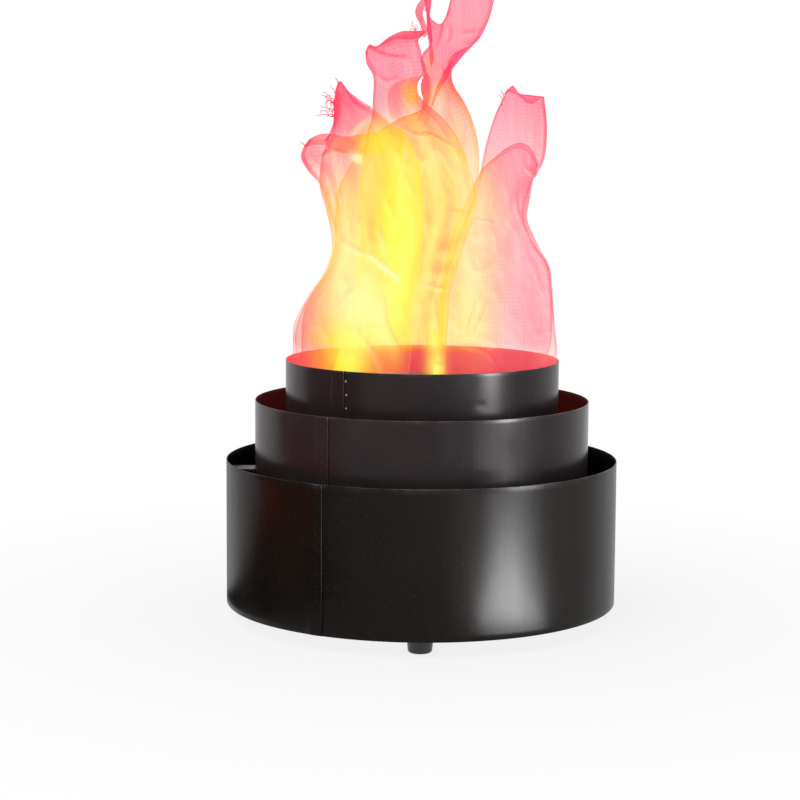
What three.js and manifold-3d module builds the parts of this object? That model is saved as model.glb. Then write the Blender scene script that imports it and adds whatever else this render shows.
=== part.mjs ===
// Silk flame effect light: three stepped sheet-steel rings on a slotted base, a fan with a wire guard,
// a ring of lamps over it, and six silk tongues that the fan blows up into a flame.
import * as THREE from 'three';
import { mergeVertices } from 'three/addons/utils/BufferGeometryUtils.js';
import Module from 'manifold-3d';

const wasm = await Module();
wasm.setup();

// Driving dimensions in millimetres, with the feet standing on z = 0 and the front facing -Y

// Housing of three rolled rings
const drumRadius = 155;
const drumFloor = 13;
const drumRim = 127;
const outerStep = 22.8;
const middleFloor = 104;
const middleRim = 174;
const innerStep = 24.1;
const topFloor = 150;
const topRim = 206;
const sheetWall = 0.8;
const seatGap = 0.3;
const lapWidth = 10;
const joggleWidth = 2.5;
const ringSides = 64;
const innerSides = 48;
const drumSeamAngle = 28.1;
const middleSeamAngle = 31.8;
const topSeamAngle = 33;

// Tabs between the rings
const tabWidth = 20;
const tabWall = 1.2;
const tabDrop = 12;
const tabBelowRim = 9;
const outerTabAngles = [60, 180, 300];
const innerTabAngles = [90, 210, 330];

// Base plate with its turned-up rim and the rows of intake slots
const plateWall = 1.2;
const plateRimHeight = 10;
const slotWidth = 7;
const slotLength = 40;
const slotInnerRadius = 28;
const slotCount = 14;

// Rubber feet and their screws
const footSetIn = 25;
const footTopRadius = 10;
const footBottomRadius = 9;
const footEdge = 1.6;
const footRecessRadius = 5;
const footRecessDepth = 5;
const screwShankRadius = 2;
const screwHeadRadius = 4;
const screwHeadHeight = 2.6;
const screwRunOut = 6;
const screwClearance = 0.4;
const footAngles = [270, 0, 90, 180];

// Fan
const fanSetIn = 28.1;
const fanThroatWall = 5;
const fanLipWall = 1.5;
const fanFloor = 46;
const fanHeight = 48;
const fanLip = 4;
const lugRadius = 7;
const lugHeight = 5;
const strutWidth = 8;
const strutHeight = 4;
const motorPlateRadius = 27;
const motorPlateHeight = 3;
const bearingRadius = 6;
const bearingHeight = 22;
const shaftRadius = 2.5;
const shaftClearance = 0.35;
const hubRadius = 27;
const hubHeight = 30;
const hubWall = 2.2;
const hubLift = 8;
const hubRound = 4;
const bladeCount = 7;
const bladeTipGap = 2.2;
const bladeWall = 1.8;
const bladeRootChord = 25;
const bladeTipChord = 44;
const bladeRootAngle = 50;
const bladeTipAngle = 24;
const bladeEdgeShare = 0.3;
const bladeCamber = 4;
const bladeSweep = 16;
const bladeRootSink = 1.2;
const statorGap = 3.8;
const statorHeight = 17;
const guardWire = 2.2;
const guardShares = [0.25, 0.494, 0.7375, 0.99];
const guardSpokes = 4;
const postRadius = 4.5;
const postStudRadius = 1.8;
const postNutHeight = 3;
const postAngles = [45, 135, 225, 315];

// Lamp plate over the fan, its pillars, and the ring of lamps
const deckLevel = 112;
const deckWall = 1.2;
const deckHoleGap = 4;
const deckRimHeight = 8;
const pillarRadius = 5;
const pillarSetIn = 14.2;
const pillarAngles = [60, 150, 240, 330];
const boardSetBack = 2;
const boardWidth = 21;
const boardWall = 1.6;
const lampCount = 8;
const emitterSide = 7;
const emitterHeight = 1.2;
const lensBaseRadius = 5.5;
const lensRadius = 9;
const lensHeight = 11;
const lensDish = 2.5;
const lensLip = 1.6;

// Carrier ring and clamps that hold the hems of the silk
const carrierLevel = 168;
const carrierWall = 1;
const carrierWidth = 18.1;
const upstandSetIn = 8.5;
const upstandHeight = 15;
const clampHeight = 9;
const clampWall = 0.8;

// Silk tongues
const silkThickness = 1.2;
const flameSetIn = 4.1;
const flameHeight = 363;
const foldDepth = 4.5;
const foldRisePower = 1.2;
const foldDriftShare = 0.35;
const silkBillow = 4;
const silkColumns = 12;
const silkRows = 22;
const hemSag = 0.5;
const hemReleasePower = 1.2;
const topEdgePower = 3;

// Lamp driver, terminal block and leads on the base plate
const driverLengthShare = 2 / 3;
const driverAngle = 25;
const driverWidth = 32;
const driverHeight = 24;
const driverSetIn = 35;
const driverLidWall = 1.5;
const driverLidLip = 3;
const terminalLength = 40;
const terminalWidth = 18;
const terminalHeight = 16;
const terminalSetIn = 34;
const terminalAngle = 128;
const terminalStep = 3;
const terminalSlot = 4;
const leadRadius = 2.4;
const leadSides = 8;
const leadSpacing = 5.6;
const leadClearance = 1.4;

// Power inlet on the drum's back
const inletLevel = 46;
const inletAngle = 90;
const inletBodyWidth = 27;
const inletBodyHeight = 20;
const inletBodyDepth = 22;
const inletFlangeWidth = 31;
const inletFlangeHeight = 24;
const flangeWall = 2.2;
const inletWall = 1.6;
const inletRecessDepth = 15;
const inletCorner = 5;
const pinWidth = 4;
const pinThickness = 2;
const pinReach = 13;
const pinSpacing = 7;
const pinDrop = 4;

// Rocker switch beside it
const switchAngle = 72;
const switchBodyWidth = 15;
const switchBodyHeight = 22;
const switchBodyDepth = 17;
const switchFlangeWidth = 18;
const switchFlangeHeight = 25.5;
const rockerWidth = 11;
const rockerHeight = 17;
const rockerPocketWidth = 11.8;
const rockerPocketHeight = 19;
const rockerPocketDepth = 6.5;
const rockerEndRise = 3.2;
const rockerValleyRise = 1.2;
const rockerSkirt = 1;
const rockerBelly = 3.2;
const rockerBellyHalf = 3;
const rockerTilt = 10;
const pivotRadius = 1.1;
const pivotReach = 0.9;
const pivotSinkBelowFlange = 0.6;
const pivotClearance = 0.35;

// One overrun for every cut that passes right through
const overrun = 2;

// Sizes that follow from the ones above
const middleRadius = drumRadius - outerStep;
const topRadius = middleRadius - innerStep;
const footCircleRadius = drumRadius - footSetIn;
const drumInnerRadius = drumRadius - sheetWall;
const middleInnerRadius = middleRadius - sheetWall;
const topInnerRadius = topRadius - sheetWall;
const plateTop = drumFloor + plateWall;
const plateRadius = drumInnerRadius - seatGap;
const fanRadius = topRadius - fanSetIn;
const fanThroatRadius = fanRadius - fanThroatWall;
const fanLipRadius = fanRadius - fanLipWall;
const lugCircleRadius = fanRadius + lugRadius;
const statorRadius = hubRadius - hubWall - statorGap;
const guardRadii = guardShares.map((share) => share * fanRadius);
const fanTop = fanFloor + fanHeight;
const deckTop = deckLevel + deckWall;
const deckRadius = middleInnerRadius - seatGap;
const deckHoleRadius = fanRadius + deckHoleGap;
const pillarCircleRadius = middleRadius - pillarSetIn;
const boardInnerRadius = deckHoleRadius + boardSetBack;
const boardOuterRadius = boardInnerRadius + boardWidth;
const lampCircleRadius = boardInnerRadius + boardWidth / 2;
const boardTop = deckTop + seatGap + boardWall;
const carrierTop = carrierLevel + carrierWall;
const carrierRadius = topInnerRadius - seatGap;
const carrierInnerRadius = topRadius - carrierWidth;
const upstandOuterRadius = topRadius - upstandSetIn;
const upstandInnerRadius = upstandOuterRadius - carrierWall;
const hemLevel = carrierTop + seatGap;
const outerHemRadius = upstandOuterRadius + seatGap + hemSag + silkThickness / 2;
const innerHemRadius = upstandInnerRadius - seatGap - hemSag - silkThickness / 2;
const flameHalfWidth = topRadius - flameSetIn;
const driverCircleRadius = drumRadius - driverSetIn;
const driverLength = driverLengthShare * driverCircleRadius;
const terminalCircleRadius = drumRadius - terminalSetIn;
const fastenerSides = 8;

// Materials
const blackSteel = material('#2b292b', 0.42, 0.55);
const zincSteel = material('#a9adb0', 0.4, 0.85);
const castMetal = material('#3a3b3d', 0.55, 0.6);
const blackRubber = material('#1b1b1c', 0.85, 0);
const blackPlastic = material('#232426', 0.5, 0);
const fanPlastic = material('#2f3134', 0.45, 0);
const whiteBoard = material('#e9ece8', 0.5, 0);
const redLens = material('#ff2a20', 0.2, 0);
const amberLens = material('#ffb42a', 0.2, 0);
const copperWinding = material('#a4622c', 0.4, 0.7);
const whiteTerminal = material('#dedbd2', 0.55, 0);
const leadSheath = material('#242424', 0.6, 0);
const pinkSilk = material('#f59aa0', 0.6, 0);

function material(color, roughness, metalness) {
  return new THREE.MeshStandardMaterial({ color, roughness, metalness });
}

function degrees(angle) {
  return THREE.MathUtils.degToRad(angle);
}

// A point on a circle round the Z axis
function polar(radius, angle, height) {
  return new THREE.Vector3(radius * Math.cos(degrees(angle)), radius * Math.sin(degrees(angle)), height);
}

// Shared vertices and outward faces, from positions alone
function closed(geometry) {
  const bare = new THREE.BufferGeometry();
  bare.setAttribute('position', geometry.getAttribute('position').clone());
  bare.setIndex(geometry.index ? geometry.index.clone() : null);
  const merged = mergeVertices(bare);
  const index = merged.index.array;
  const place = merged.getAttribute('position');
  const corners = [new THREE.Vector3(), new THREE.Vector3(), new THREE.Vector3()];
  const kept = [];
  let volume = 0;
  for (let face = 0; face < index.length; face += 3) {
    const [a, b, c] = index.slice(face, face + 3);
    if (a === b || b === c || c === a) continue;
    corners.forEach((corner, turn) => corner.fromBufferAttribute(place, [a, b, c][turn]));
    volume += corners[0].dot(corners[1].clone().cross(corners[2]));
    kept.push(a, b, c);
  }
  if (volume < 0) kept.reverse();
  merged.setIndex(kept);
  return merged;
}

function solidOf(geometry) {
  const tidy = closed(geometry);
  return new wasm.Manifold(new wasm.Mesh({
    numProp: 3,
    vertProperties: new Float32Array(tidy.getAttribute('position').array),
    triVerts: new Uint32Array(tidy.index.array),
  }));
}

function geometryOf(solid) {
  const mesh = solid.getMesh();
  const geometry = new THREE.BufferGeometry();
  geometry.setAttribute('position', new THREE.BufferAttribute(mesh.vertProperties, 3));
  geometry.setIndex(new THREE.BufferAttribute(mesh.triVerts, 1));
  return geometry;
}

// The first geometry joined with the second list, less the third
function shaped(base, joined, cuts) {
  let solid = solidOf(base);
  for (const piece of joined) solid = solid.add(solidOf(piece));
  for (const piece of cuts) solid = solid.subtract(solidOf(piece));
  return geometryOf(solid);
}

// A revolved profile of [radius, height] pairs about the Z axis, facets in step with the rolled rings
function revolved(profile, sides) {
  const points = profile.map(([radius, height]) => new THREE.Vector2(radius, height));
  const geometry = new THREE.LatheGeometry(points, sides);
  geometry.rotateX(Math.PI / 2);
  return geometry;
}

// A revolved profile that closes on itself, for rings
function revolvedRing(profile, sides) {
  return revolved([...profile, profile[0]], sides);
}

function block(width, depth, height, x, y, z) {
  return new THREE.BoxGeometry(width, depth, height).translate(x, y, z);
}

function rod(radius, low, high, sides) {
  const geometry = new THREE.CylinderGeometry(radius, radius, high - low, sides);
  return geometry.rotateX(Math.PI / 2).translate(0, 0, (low + high) / 2);
}

const light = new THREE.Group();

function place(name, geometry, finish, parent = light) {
  const mesh = new THREE.Mesh(closed(geometry), finish);
  mesh.name = name;
  parent.add(mesh);
  return mesh;
}

// A group turned about the Z axis, so that its +X side faces the given direction
function facing(angle) {
  const group = new THREE.Group();
  group.rotation.z = degrees(angle);
  light.add(group);
  return group;
}

// A rolled sheet whose far end is joggled outward by one wall and lies over its near end at the seam
function rolledRing(radius, low, high, seamAngle) {
  const seam = degrees(270 - seamAngle);
  const lap = lapWidth / radius;
  const ramp = joggleWidth / radius;
  const plain = 2 * Math.PI - lap - ramp;
  const outline = [];
  for (let step = 0; step <= ringSides; step += 1) {
    outline.push([radius, seam + plain * step / ringSides]);
  }
  outline.push([radius + sheetWall, seam - lap]);
  outline.push([radius + sheetWall, seam - lap / 2]);
  outline.push([radius + sheetWall, seam]);
  const shape = new THREE.Shape(outline.map(([reach, turn]) => (
    new THREE.Vector2(reach * Math.cos(turn), reach * Math.sin(turn))
  )));
  const bore = new THREE.Path();
  bore.setFromPoints(Array.from({ length: ringSides }, (_, step) => {
    const turn = 2 * Math.PI * step / ringSides;
    return new THREE.Vector2((radius - sheetWall) * Math.cos(turn), (radius - sheetWall) * Math.sin(turn));
  }));
  shape.holes.push(bore);
  const geometry = new THREE.ExtrudeGeometry(shape, { depth: high - low, bevelEnabled: false });
  return geometry.translate(0, 0, low);
}

// Cut-out through the drum's wall for a piece that snaps in from outside, seen square on at angle
function wallOpening(angle, width, height, level) {
  const reach = drumRadius - sheetWall / 2;
  return block(4 * sheetWall + overrun, width, height, reach, 0, level).rotateZ(degrees(angle));
}

function makeHousing() {
  const drum = shaped(rolledRing(drumRadius, drumFloor, drumRim, drumSeamAngle), [], [
    wallOpening(inletAngle, inletBodyWidth + 2 * seatGap, inletBodyHeight + 2 * seatGap, inletLevel),
    wallOpening(switchAngle, switchBodyWidth + 2 * seatGap, switchBodyHeight + 2 * seatGap, inletLevel),
  ]);
  place('outer_drum', drum, blackSteel);
  place('middle_ring', rolledRing(middleRadius, middleFloor, middleRim, middleSeamAngle), blackSteel);
  place('top_ring', rolledRing(topRadius, topFloor, topRim, topSeamAngle), blackSteel);
}

// A channel-shaped tab, its web level and its two ends turned down against the walls it joins
function bridgeTab(innerRadius, outerRadius, level) {
  const near = innerRadius + seatGap;
  const far = Math.sqrt((outerRadius - seatGap) ** 2 - (tabWidth / 2) ** 2);
  const profile = new THREE.Shape([
    new THREE.Vector2(near, level),
    new THREE.Vector2(near, level - tabDrop),
    new THREE.Vector2(near + tabWall, level - tabDrop),
    new THREE.Vector2(near + tabWall, level - tabWall),
    new THREE.Vector2(far - tabWall, level - tabWall),
    new THREE.Vector2(far - tabWall, level - tabDrop),
    new THREE.Vector2(far, level - tabDrop),
    new THREE.Vector2(far, level),
  ]);
  const tab = new THREE.ExtrudeGeometry(profile, { depth: tabWidth, bevelEnabled: false });
  return tab.translate(0, 0, -tabWidth / 2).rotateX(Math.PI / 2);
}

function makeTabs() {
  outerTabAngles.forEach((angle, turn) => {
    const tab = bridgeTab(middleRadius, drumInnerRadius, drumRim - tabBelowRim);
    place(`outer_bracket_${turn + 1}`, tab, blackSteel, facing(angle));
  });
  innerTabAngles.forEach((angle, turn) => {
    const tab = bridgeTab(topRadius, middleInnerRadius, middleRim - tabBelowRim);
    place(`inner_bracket_${turn + 1}`, tab, blackSteel, facing(angle));
  });
}

// The base: a dished disc with a double row of intake slots under the fan and holes for the foot screws
function makeBasePlate() {
  const disc = revolved([
    [0, drumFloor],
    [plateRadius, drumFloor],
    [plateRadius, drumFloor + plateRimHeight],
    [plateRadius - plateWall, drumFloor + plateRimHeight],
    [plateRadius - plateWall, plateTop],
    [0, plateTop],
  ], innerSides);
  const level = (drumFloor + plateTop) / 2;
  const cuts = [];
  for (let turn = 0; turn < slotCount; turn += 1) {
    const middle = slotInnerRadius + slotLength / 2;
    const slot = block(slotLength, slotWidth, plateWall + overrun, middle, 0, level);
    cuts.push(slot.rotateZ(2 * Math.PI * turn / slotCount));
  }
  for (const angle of footAngles) {
    const hole = rod(screwShankRadius + screwClearance, drumFloor - overrun, plateTop + overrun, fastenerSides);
    cuts.push(hole.translate(...polar(footCircleRadius, angle, 0)));
  }
  place('base_plate', shaped(disc, [], cuts), zincSteel);
}

function makeFeet() {
  const footTop = drumFloor - seatGap;
  const foot = revolvedRing([
    [footRecessRadius, 0],
    [footBottomRadius - footEdge, 0],
    [footBottomRadius, footEdge],
    [footTopRadius, footTop],
    [screwShankRadius + screwClearance, footTop],
    [screwShankRadius + screwClearance, footRecessDepth],
    [footRecessRadius, footRecessDepth],
  ], 16);
  const headTop = footRecessDepth - seatGap;
  const screw = revolved([
    [0, headTop - screwHeadHeight],
    [screwHeadRadius, headTop - screwHeadHeight],
    [screwHeadRadius, headTop],
    [screwShankRadius, headTop],
    [screwShankRadius, plateTop + screwRunOut],
    [0, plateTop + screwRunOut],
  ], fastenerSides);
  footAngles.forEach((angle, turn) => {
    place(`foot_${turn + 1}`, foot, blackRubber).position.copy(polar(footCircleRadius, angle, 0));
    place(`foot_screw_${turn + 1}`, screw, zincSteel).position.copy(polar(footCircleRadius, angle, 0));
  });
}

// A hexagonal pillar that necks down to a stud through the piece it carries, with a nut above
function studdedPillar(radius, low, seat, seatWall, studRadius, nutHeight) {
  const shoulder = seat - seatGap;
  const nutFoot = seat + seatWall + seatGap;
  return revolved([
    [0, low],
    [radius, low],
    [radius, shoulder],
    [studRadius, shoulder],
    [studRadius, nutFoot],
    [radius, nutFoot],
    [radius, nutFoot + nutHeight],
    [0, nutFoot + nutHeight],
  ], 6);
}

function makeDeck() {
  const pillar = studdedPillar(pillarRadius, plateTop + seatGap, deckLevel, deckWall, postStudRadius, postNutHeight);
  const disc = revolvedRing([
    [deckHoleRadius, deckLevel],
    [deckRadius, deckLevel],
    [deckRadius, deckLevel + deckRimHeight],
    [deckRadius - deckWall, deckLevel + deckRimHeight],
    [deckRadius - deckWall, deckTop],
    [deckHoleRadius, deckTop],
  ], innerSides);
  const cuts = [];
  pillarAngles.forEach((angle, turn) => {
    const spot = polar(pillarCircleRadius, angle, 0);
    place(`deck_pillar_${turn + 1}`, pillar, zincSteel).position.copy(spot);
    const hole = rod(postStudRadius + screwClearance, deckLevel - overrun, deckTop + overrun, fastenerSides);
    cuts.push(hole.translate(...spot));
  });
  const leadSpot = polar((boardOuterRadius + deckRadius) / 2, 0, 0);
  const leadHole = rod(leadRadius + leadClearance, deckLevel - overrun, deckTop + overrun, fastenerSides);
  cuts.push(leadHole.translate(...leadSpot));
  place('lamp_plate', shaped(disc, [], cuts), zincSteel);
}

function makeLamps() {
  const boardLevel = deckTop + seatGap;
  const board = revolvedRing([
    [boardInnerRadius, boardLevel],
    [boardOuterRadius, boardLevel],
    [boardOuterRadius, boardTop],
    [boardInnerRadius, boardTop],
  ], innerSides - innerSides / 4);
  const emitters = [];
  const lensFoot = boardTop + emitterHeight + seatGap;
  const lens = revolved([
    [0, lensFoot],
    [lensBaseRadius, lensFoot],
    [lensRadius, lensFoot + lensHeight - lensLip],
    [lensRadius, lensFoot + lensHeight],
    [lensRadius - lensLip, lensFoot + lensHeight],
    [0, lensFoot + lensHeight - lensDish],
  ], 12);
  for (let turn = 0; turn < lampCount; turn += 1) {
    const angle = 360 * (turn + 0.5) / lampCount;
    const spot = polar(lampCircleRadius, angle, 0);
    const tall = emitterHeight + boardWall / 2;
    const emitter = block(emitterSide, emitterSide, tall, 0, 0, boardTop + emitterHeight - tall / 2);
    emitters.push(emitter.rotateZ(degrees(angle)).translate(...spot));
    const finish = turn % 2 ? amberLens : redLens;
    place(`lamp_lens_${turn + 1}`, lens, finish).position.copy(spot);
  }
  place('lamp_board', shaped(board, emitters, []), whiteBoard);
}

function makeFanFrame() {
  const throatLow = fanFloor + fanLip * 2;
  const throatHigh = fanTop - fanLip * 2;
  const venturi = revolvedRing([
    [fanLipRadius, fanFloor],
    [fanRadius, fanFloor],
    [fanRadius, fanTop],
    [fanLipRadius, fanTop],
    [fanThroatRadius + (fanLipRadius - fanThroatRadius) / 4, fanTop - fanLip],
    [fanThroatRadius, throatHigh],
    [fanThroatRadius, throatLow],
    [fanThroatRadius + (fanLipRadius - fanThroatRadius) / 4, fanFloor + fanLip],
  ], 32);
  const plateHigh = fanFloor + motorPlateHeight;
  const joined = [
    rod(motorPlateRadius, fanFloor, plateHigh, 20),
    rod(bearingRadius, fanFloor, plateHigh + bearingHeight, 12),
  ];
  const cuts = [];
  for (const angle of postAngles) {
    const reach = fanThroatRadius + (fanRadius - fanThroatRadius) / 2;
    const inner = motorPlateRadius - strutHeight;
    const strut = block(reach - inner, strutWidth, strutHeight, (reach + inner) / 2, 0, fanFloor + strutHeight / 2);
    joined.push(strut.rotateZ(degrees(angle)));
    const lug = rod(lugRadius, fanFloor, fanFloor + lugHeight, 12).translate(lugCircleRadius, 0, 0);
    const web = block(lugCircleRadius - fanThroatRadius - (fanRadius - fanThroatRadius) / 2, 2 * lugRadius, lugHeight,
      (lugCircleRadius + reach) / 2, 0, fanFloor + lugHeight / 2);
    joined.push(lug.rotateZ(degrees(angle)), web.rotateZ(degrees(angle)));
    const hole = rod(postStudRadius + screwClearance, fanFloor - overrun, fanFloor + lugHeight + overrun, fastenerSides);
    cuts.push(hole.translate(...polar(lugCircleRadius, angle, 0)));
  }
  cuts.push(rod(shaftRadius + shaftClearance, fanFloor - overrun, fanTop, 12));
  place('fan_frame', shaped(venturi, joined, cuts), castMetal);
  const post = studdedPillar(postRadius, plateTop + seatGap, fanFloor, lugHeight, postStudRadius, postNutHeight);
  postAngles.forEach((angle, turn) => {
    place(`fan_post_${turn + 1}`, post, zincSteel).position.copy(polar(lugCircleRadius, angle, 0));
  });
}

// One blade, lofted through curved sections that grow, flatten and sweep forward from root to tip
function bladeGeometry() {
  const root = hubRadius - bladeRootSink;
  const tip = fanThroatRadius - bladeTipGap;
  const spans = 4;
  const chordSteps = 4;
  const middle = fanFloor + hubLift + hubHeight / 2;
  const rows = [];
  for (let span = 0; span <= spans; span += 1) {
    const share = span / spans;
    const radius = root + (tip - root) * share;
    const chord = bladeRootChord + (bladeTipChord - bladeRootChord) * share;
    const pitch = degrees(bladeRootAngle + (bladeTipAngle - bladeRootAngle) * share);
    const sweep = bladeSweep * share ** 2 / radius;
    const row = [];
    for (const side of [1, -1]) {
      for (let step = 0; step <= chordSteps; step += 1) {
        const along = (side > 0 ? step : chordSteps - step) / chordSteps * 2 - 1;
        const half = bladeWall / 2 * (1 - (1 - bladeEdgeShare) * along ** 4);
        const rise = bladeCamber * (1 - along ** 2) + side * half;
        const run = chord / 2 * along;
        const ahead = run * Math.cos(pitch) - rise * Math.sin(pitch);
        const turn = sweep + ahead / radius;
        const height = middle + run * Math.sin(pitch) + rise * Math.cos(pitch) - bladeCamber / 2;
        row.push([radius * Math.cos(turn), radius * Math.sin(turn), height]);
      }
    }
    rows.push(row);
  }
  return loft(rows);
}

// A closed skin through rows of points, each row a loop, with a flat fan over each end
function loft(rows) {
  const around = rows[0].length;
  const positions = rows.flat(2);
  const faces = [];
  for (let row = 0; row + 1 < rows.length; row += 1) {
    for (let step = 0; step < around; step += 1) {
      const a = row * around + step;
      const b = row * around + (step + 1) % around;
      faces.push(a, b, b + around, a, b + around, a + around);
    }
  }
  const last = (rows.length - 1) * around;
  const pairs = around / 2 - 1;
  for (let step = 0; step < pairs; step += 1) {
    const opposite = around - 1 - step;
    faces.push(opposite, step + 1, step, opposite, opposite - 1, step + 1);
    faces.push(last + step, last + step + 1, last + opposite);
    faces.push(last + step + 1, last + opposite - 1, last + opposite);
  }
  const geometry = new THREE.BufferGeometry();
  geometry.setAttribute('position', new THREE.Float32BufferAttribute(positions, 3));
  geometry.setIndex(faces);
  return geometry;
}

function makeRotor() {
  const low = fanFloor + hubLift;
  const high = low + hubHeight;
  const cup = revolved([
    [0, high],
    [hubRadius - hubRound, high],
    [hubRadius, high - hubRound],
    [hubRadius, low],
    [hubRadius - hubWall, low],
    [hubRadius - hubWall, high - hubWall - hubRound / 2],
    [shaftRadius, high - hubWall - hubRound / 2],
    [shaftRadius, fanFloor + motorPlateHeight],
    [0, fanFloor + motorPlateHeight],
  ], 28);
  const blade = bladeGeometry();
  const blades = [];
  for (let turn = 0; turn < bladeCount; turn += 1) {
    blades.push(blade.clone().rotateZ(2 * Math.PI * turn / bladeCount));
  }
  const bowl = revolved([
    [0, low - overrun],
    [hubRadius - hubWall, low - overrun],
    [hubRadius - hubWall, high - hubWall - hubRound / 2],
    [0, high - hubWall - hubRound / 2],
  ], 28);
  const trimmed = blades.map((piece) => geometryOf(solidOf(piece).subtract(solidOf(bowl))));
  place('fan_rotor', shaped(cup, trimmed, []), fanPlastic);
  const statorLow = fanFloor + motorPlateHeight + seatGap;
  const stator = revolvedRing([
    [bearingRadius + seatGap, statorLow],
    [statorRadius - hubRound, statorLow],
    [statorRadius, statorLow + hubRound],
    [statorRadius, statorLow + statorHeight],
    [bearingRadius + seatGap, statorLow + statorHeight],
  ], 16);
  place('fan_stator', stator, copperWinding);
}

// Concentric wire rings on four spokes, standing on the lip of the fan
function makeGuard() {
  const half = guardWire / 2;
  const ringLevel = fanTop + seatGap + half;
  const rings = guardRadii.map((radius, turn) => revolvedRing([
    [radius - half, ringLevel],
    [radius, ringLevel - half],
    [radius + half, ringLevel],
    [radius, ringLevel + half],
  ], turn < 2 ? 20 : 32));
  const inner = guardRadii[0];
  const outer = guardRadii[guardRadii.length - 1];
  const spokes = [];
  for (let turn = 0; turn < guardSpokes; turn += 1) {
    const spoke = block(outer - inner, guardWire, guardWire, (outer + inner) / 2, 0, ringLevel + half);
    spokes.push(spoke.rotateZ(2 * Math.PI * (turn + 0.5) / guardSpokes));
  }
  place('fan_guard', shaped(rings[0], [...spokes, ...rings.slice(1)], []), zincSteel);
}

function makeCarrier() {
  const carrier = revolvedRing([
    [carrierInnerRadius, carrierLevel],
    [carrierRadius, carrierLevel],
    [carrierRadius, carrierTop],
    [upstandOuterRadius, carrierTop],
    [upstandOuterRadius, carrierTop + upstandHeight],
    [upstandInnerRadius, carrierTop + upstandHeight],
    [upstandInnerRadius, carrierTop],
    [carrierInnerRadius, carrierTop],
  ], innerSides);
  place('silk_carrier', carrier, zincSteel);
  const outerBand = outerHemRadius + silkThickness / 2 + seatGap + hemSag;
  const innerBand = innerHemRadius - silkThickness / 2 - seatGap - hemSag - clampWall;
  for (const [name, radius] of [['silk_clamp_outer', outerBand], ['silk_clamp_inner', innerBand]]) {
    const band = revolvedRing([
      [radius, hemLevel],
      [radius + clampWall, hemLevel],
      [radius + clampWall, hemLevel + clampHeight],
      [radius, hemLevel + clampHeight],
    ], innerSides);
    place(name, band, zincSteel);
  }
}

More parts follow.
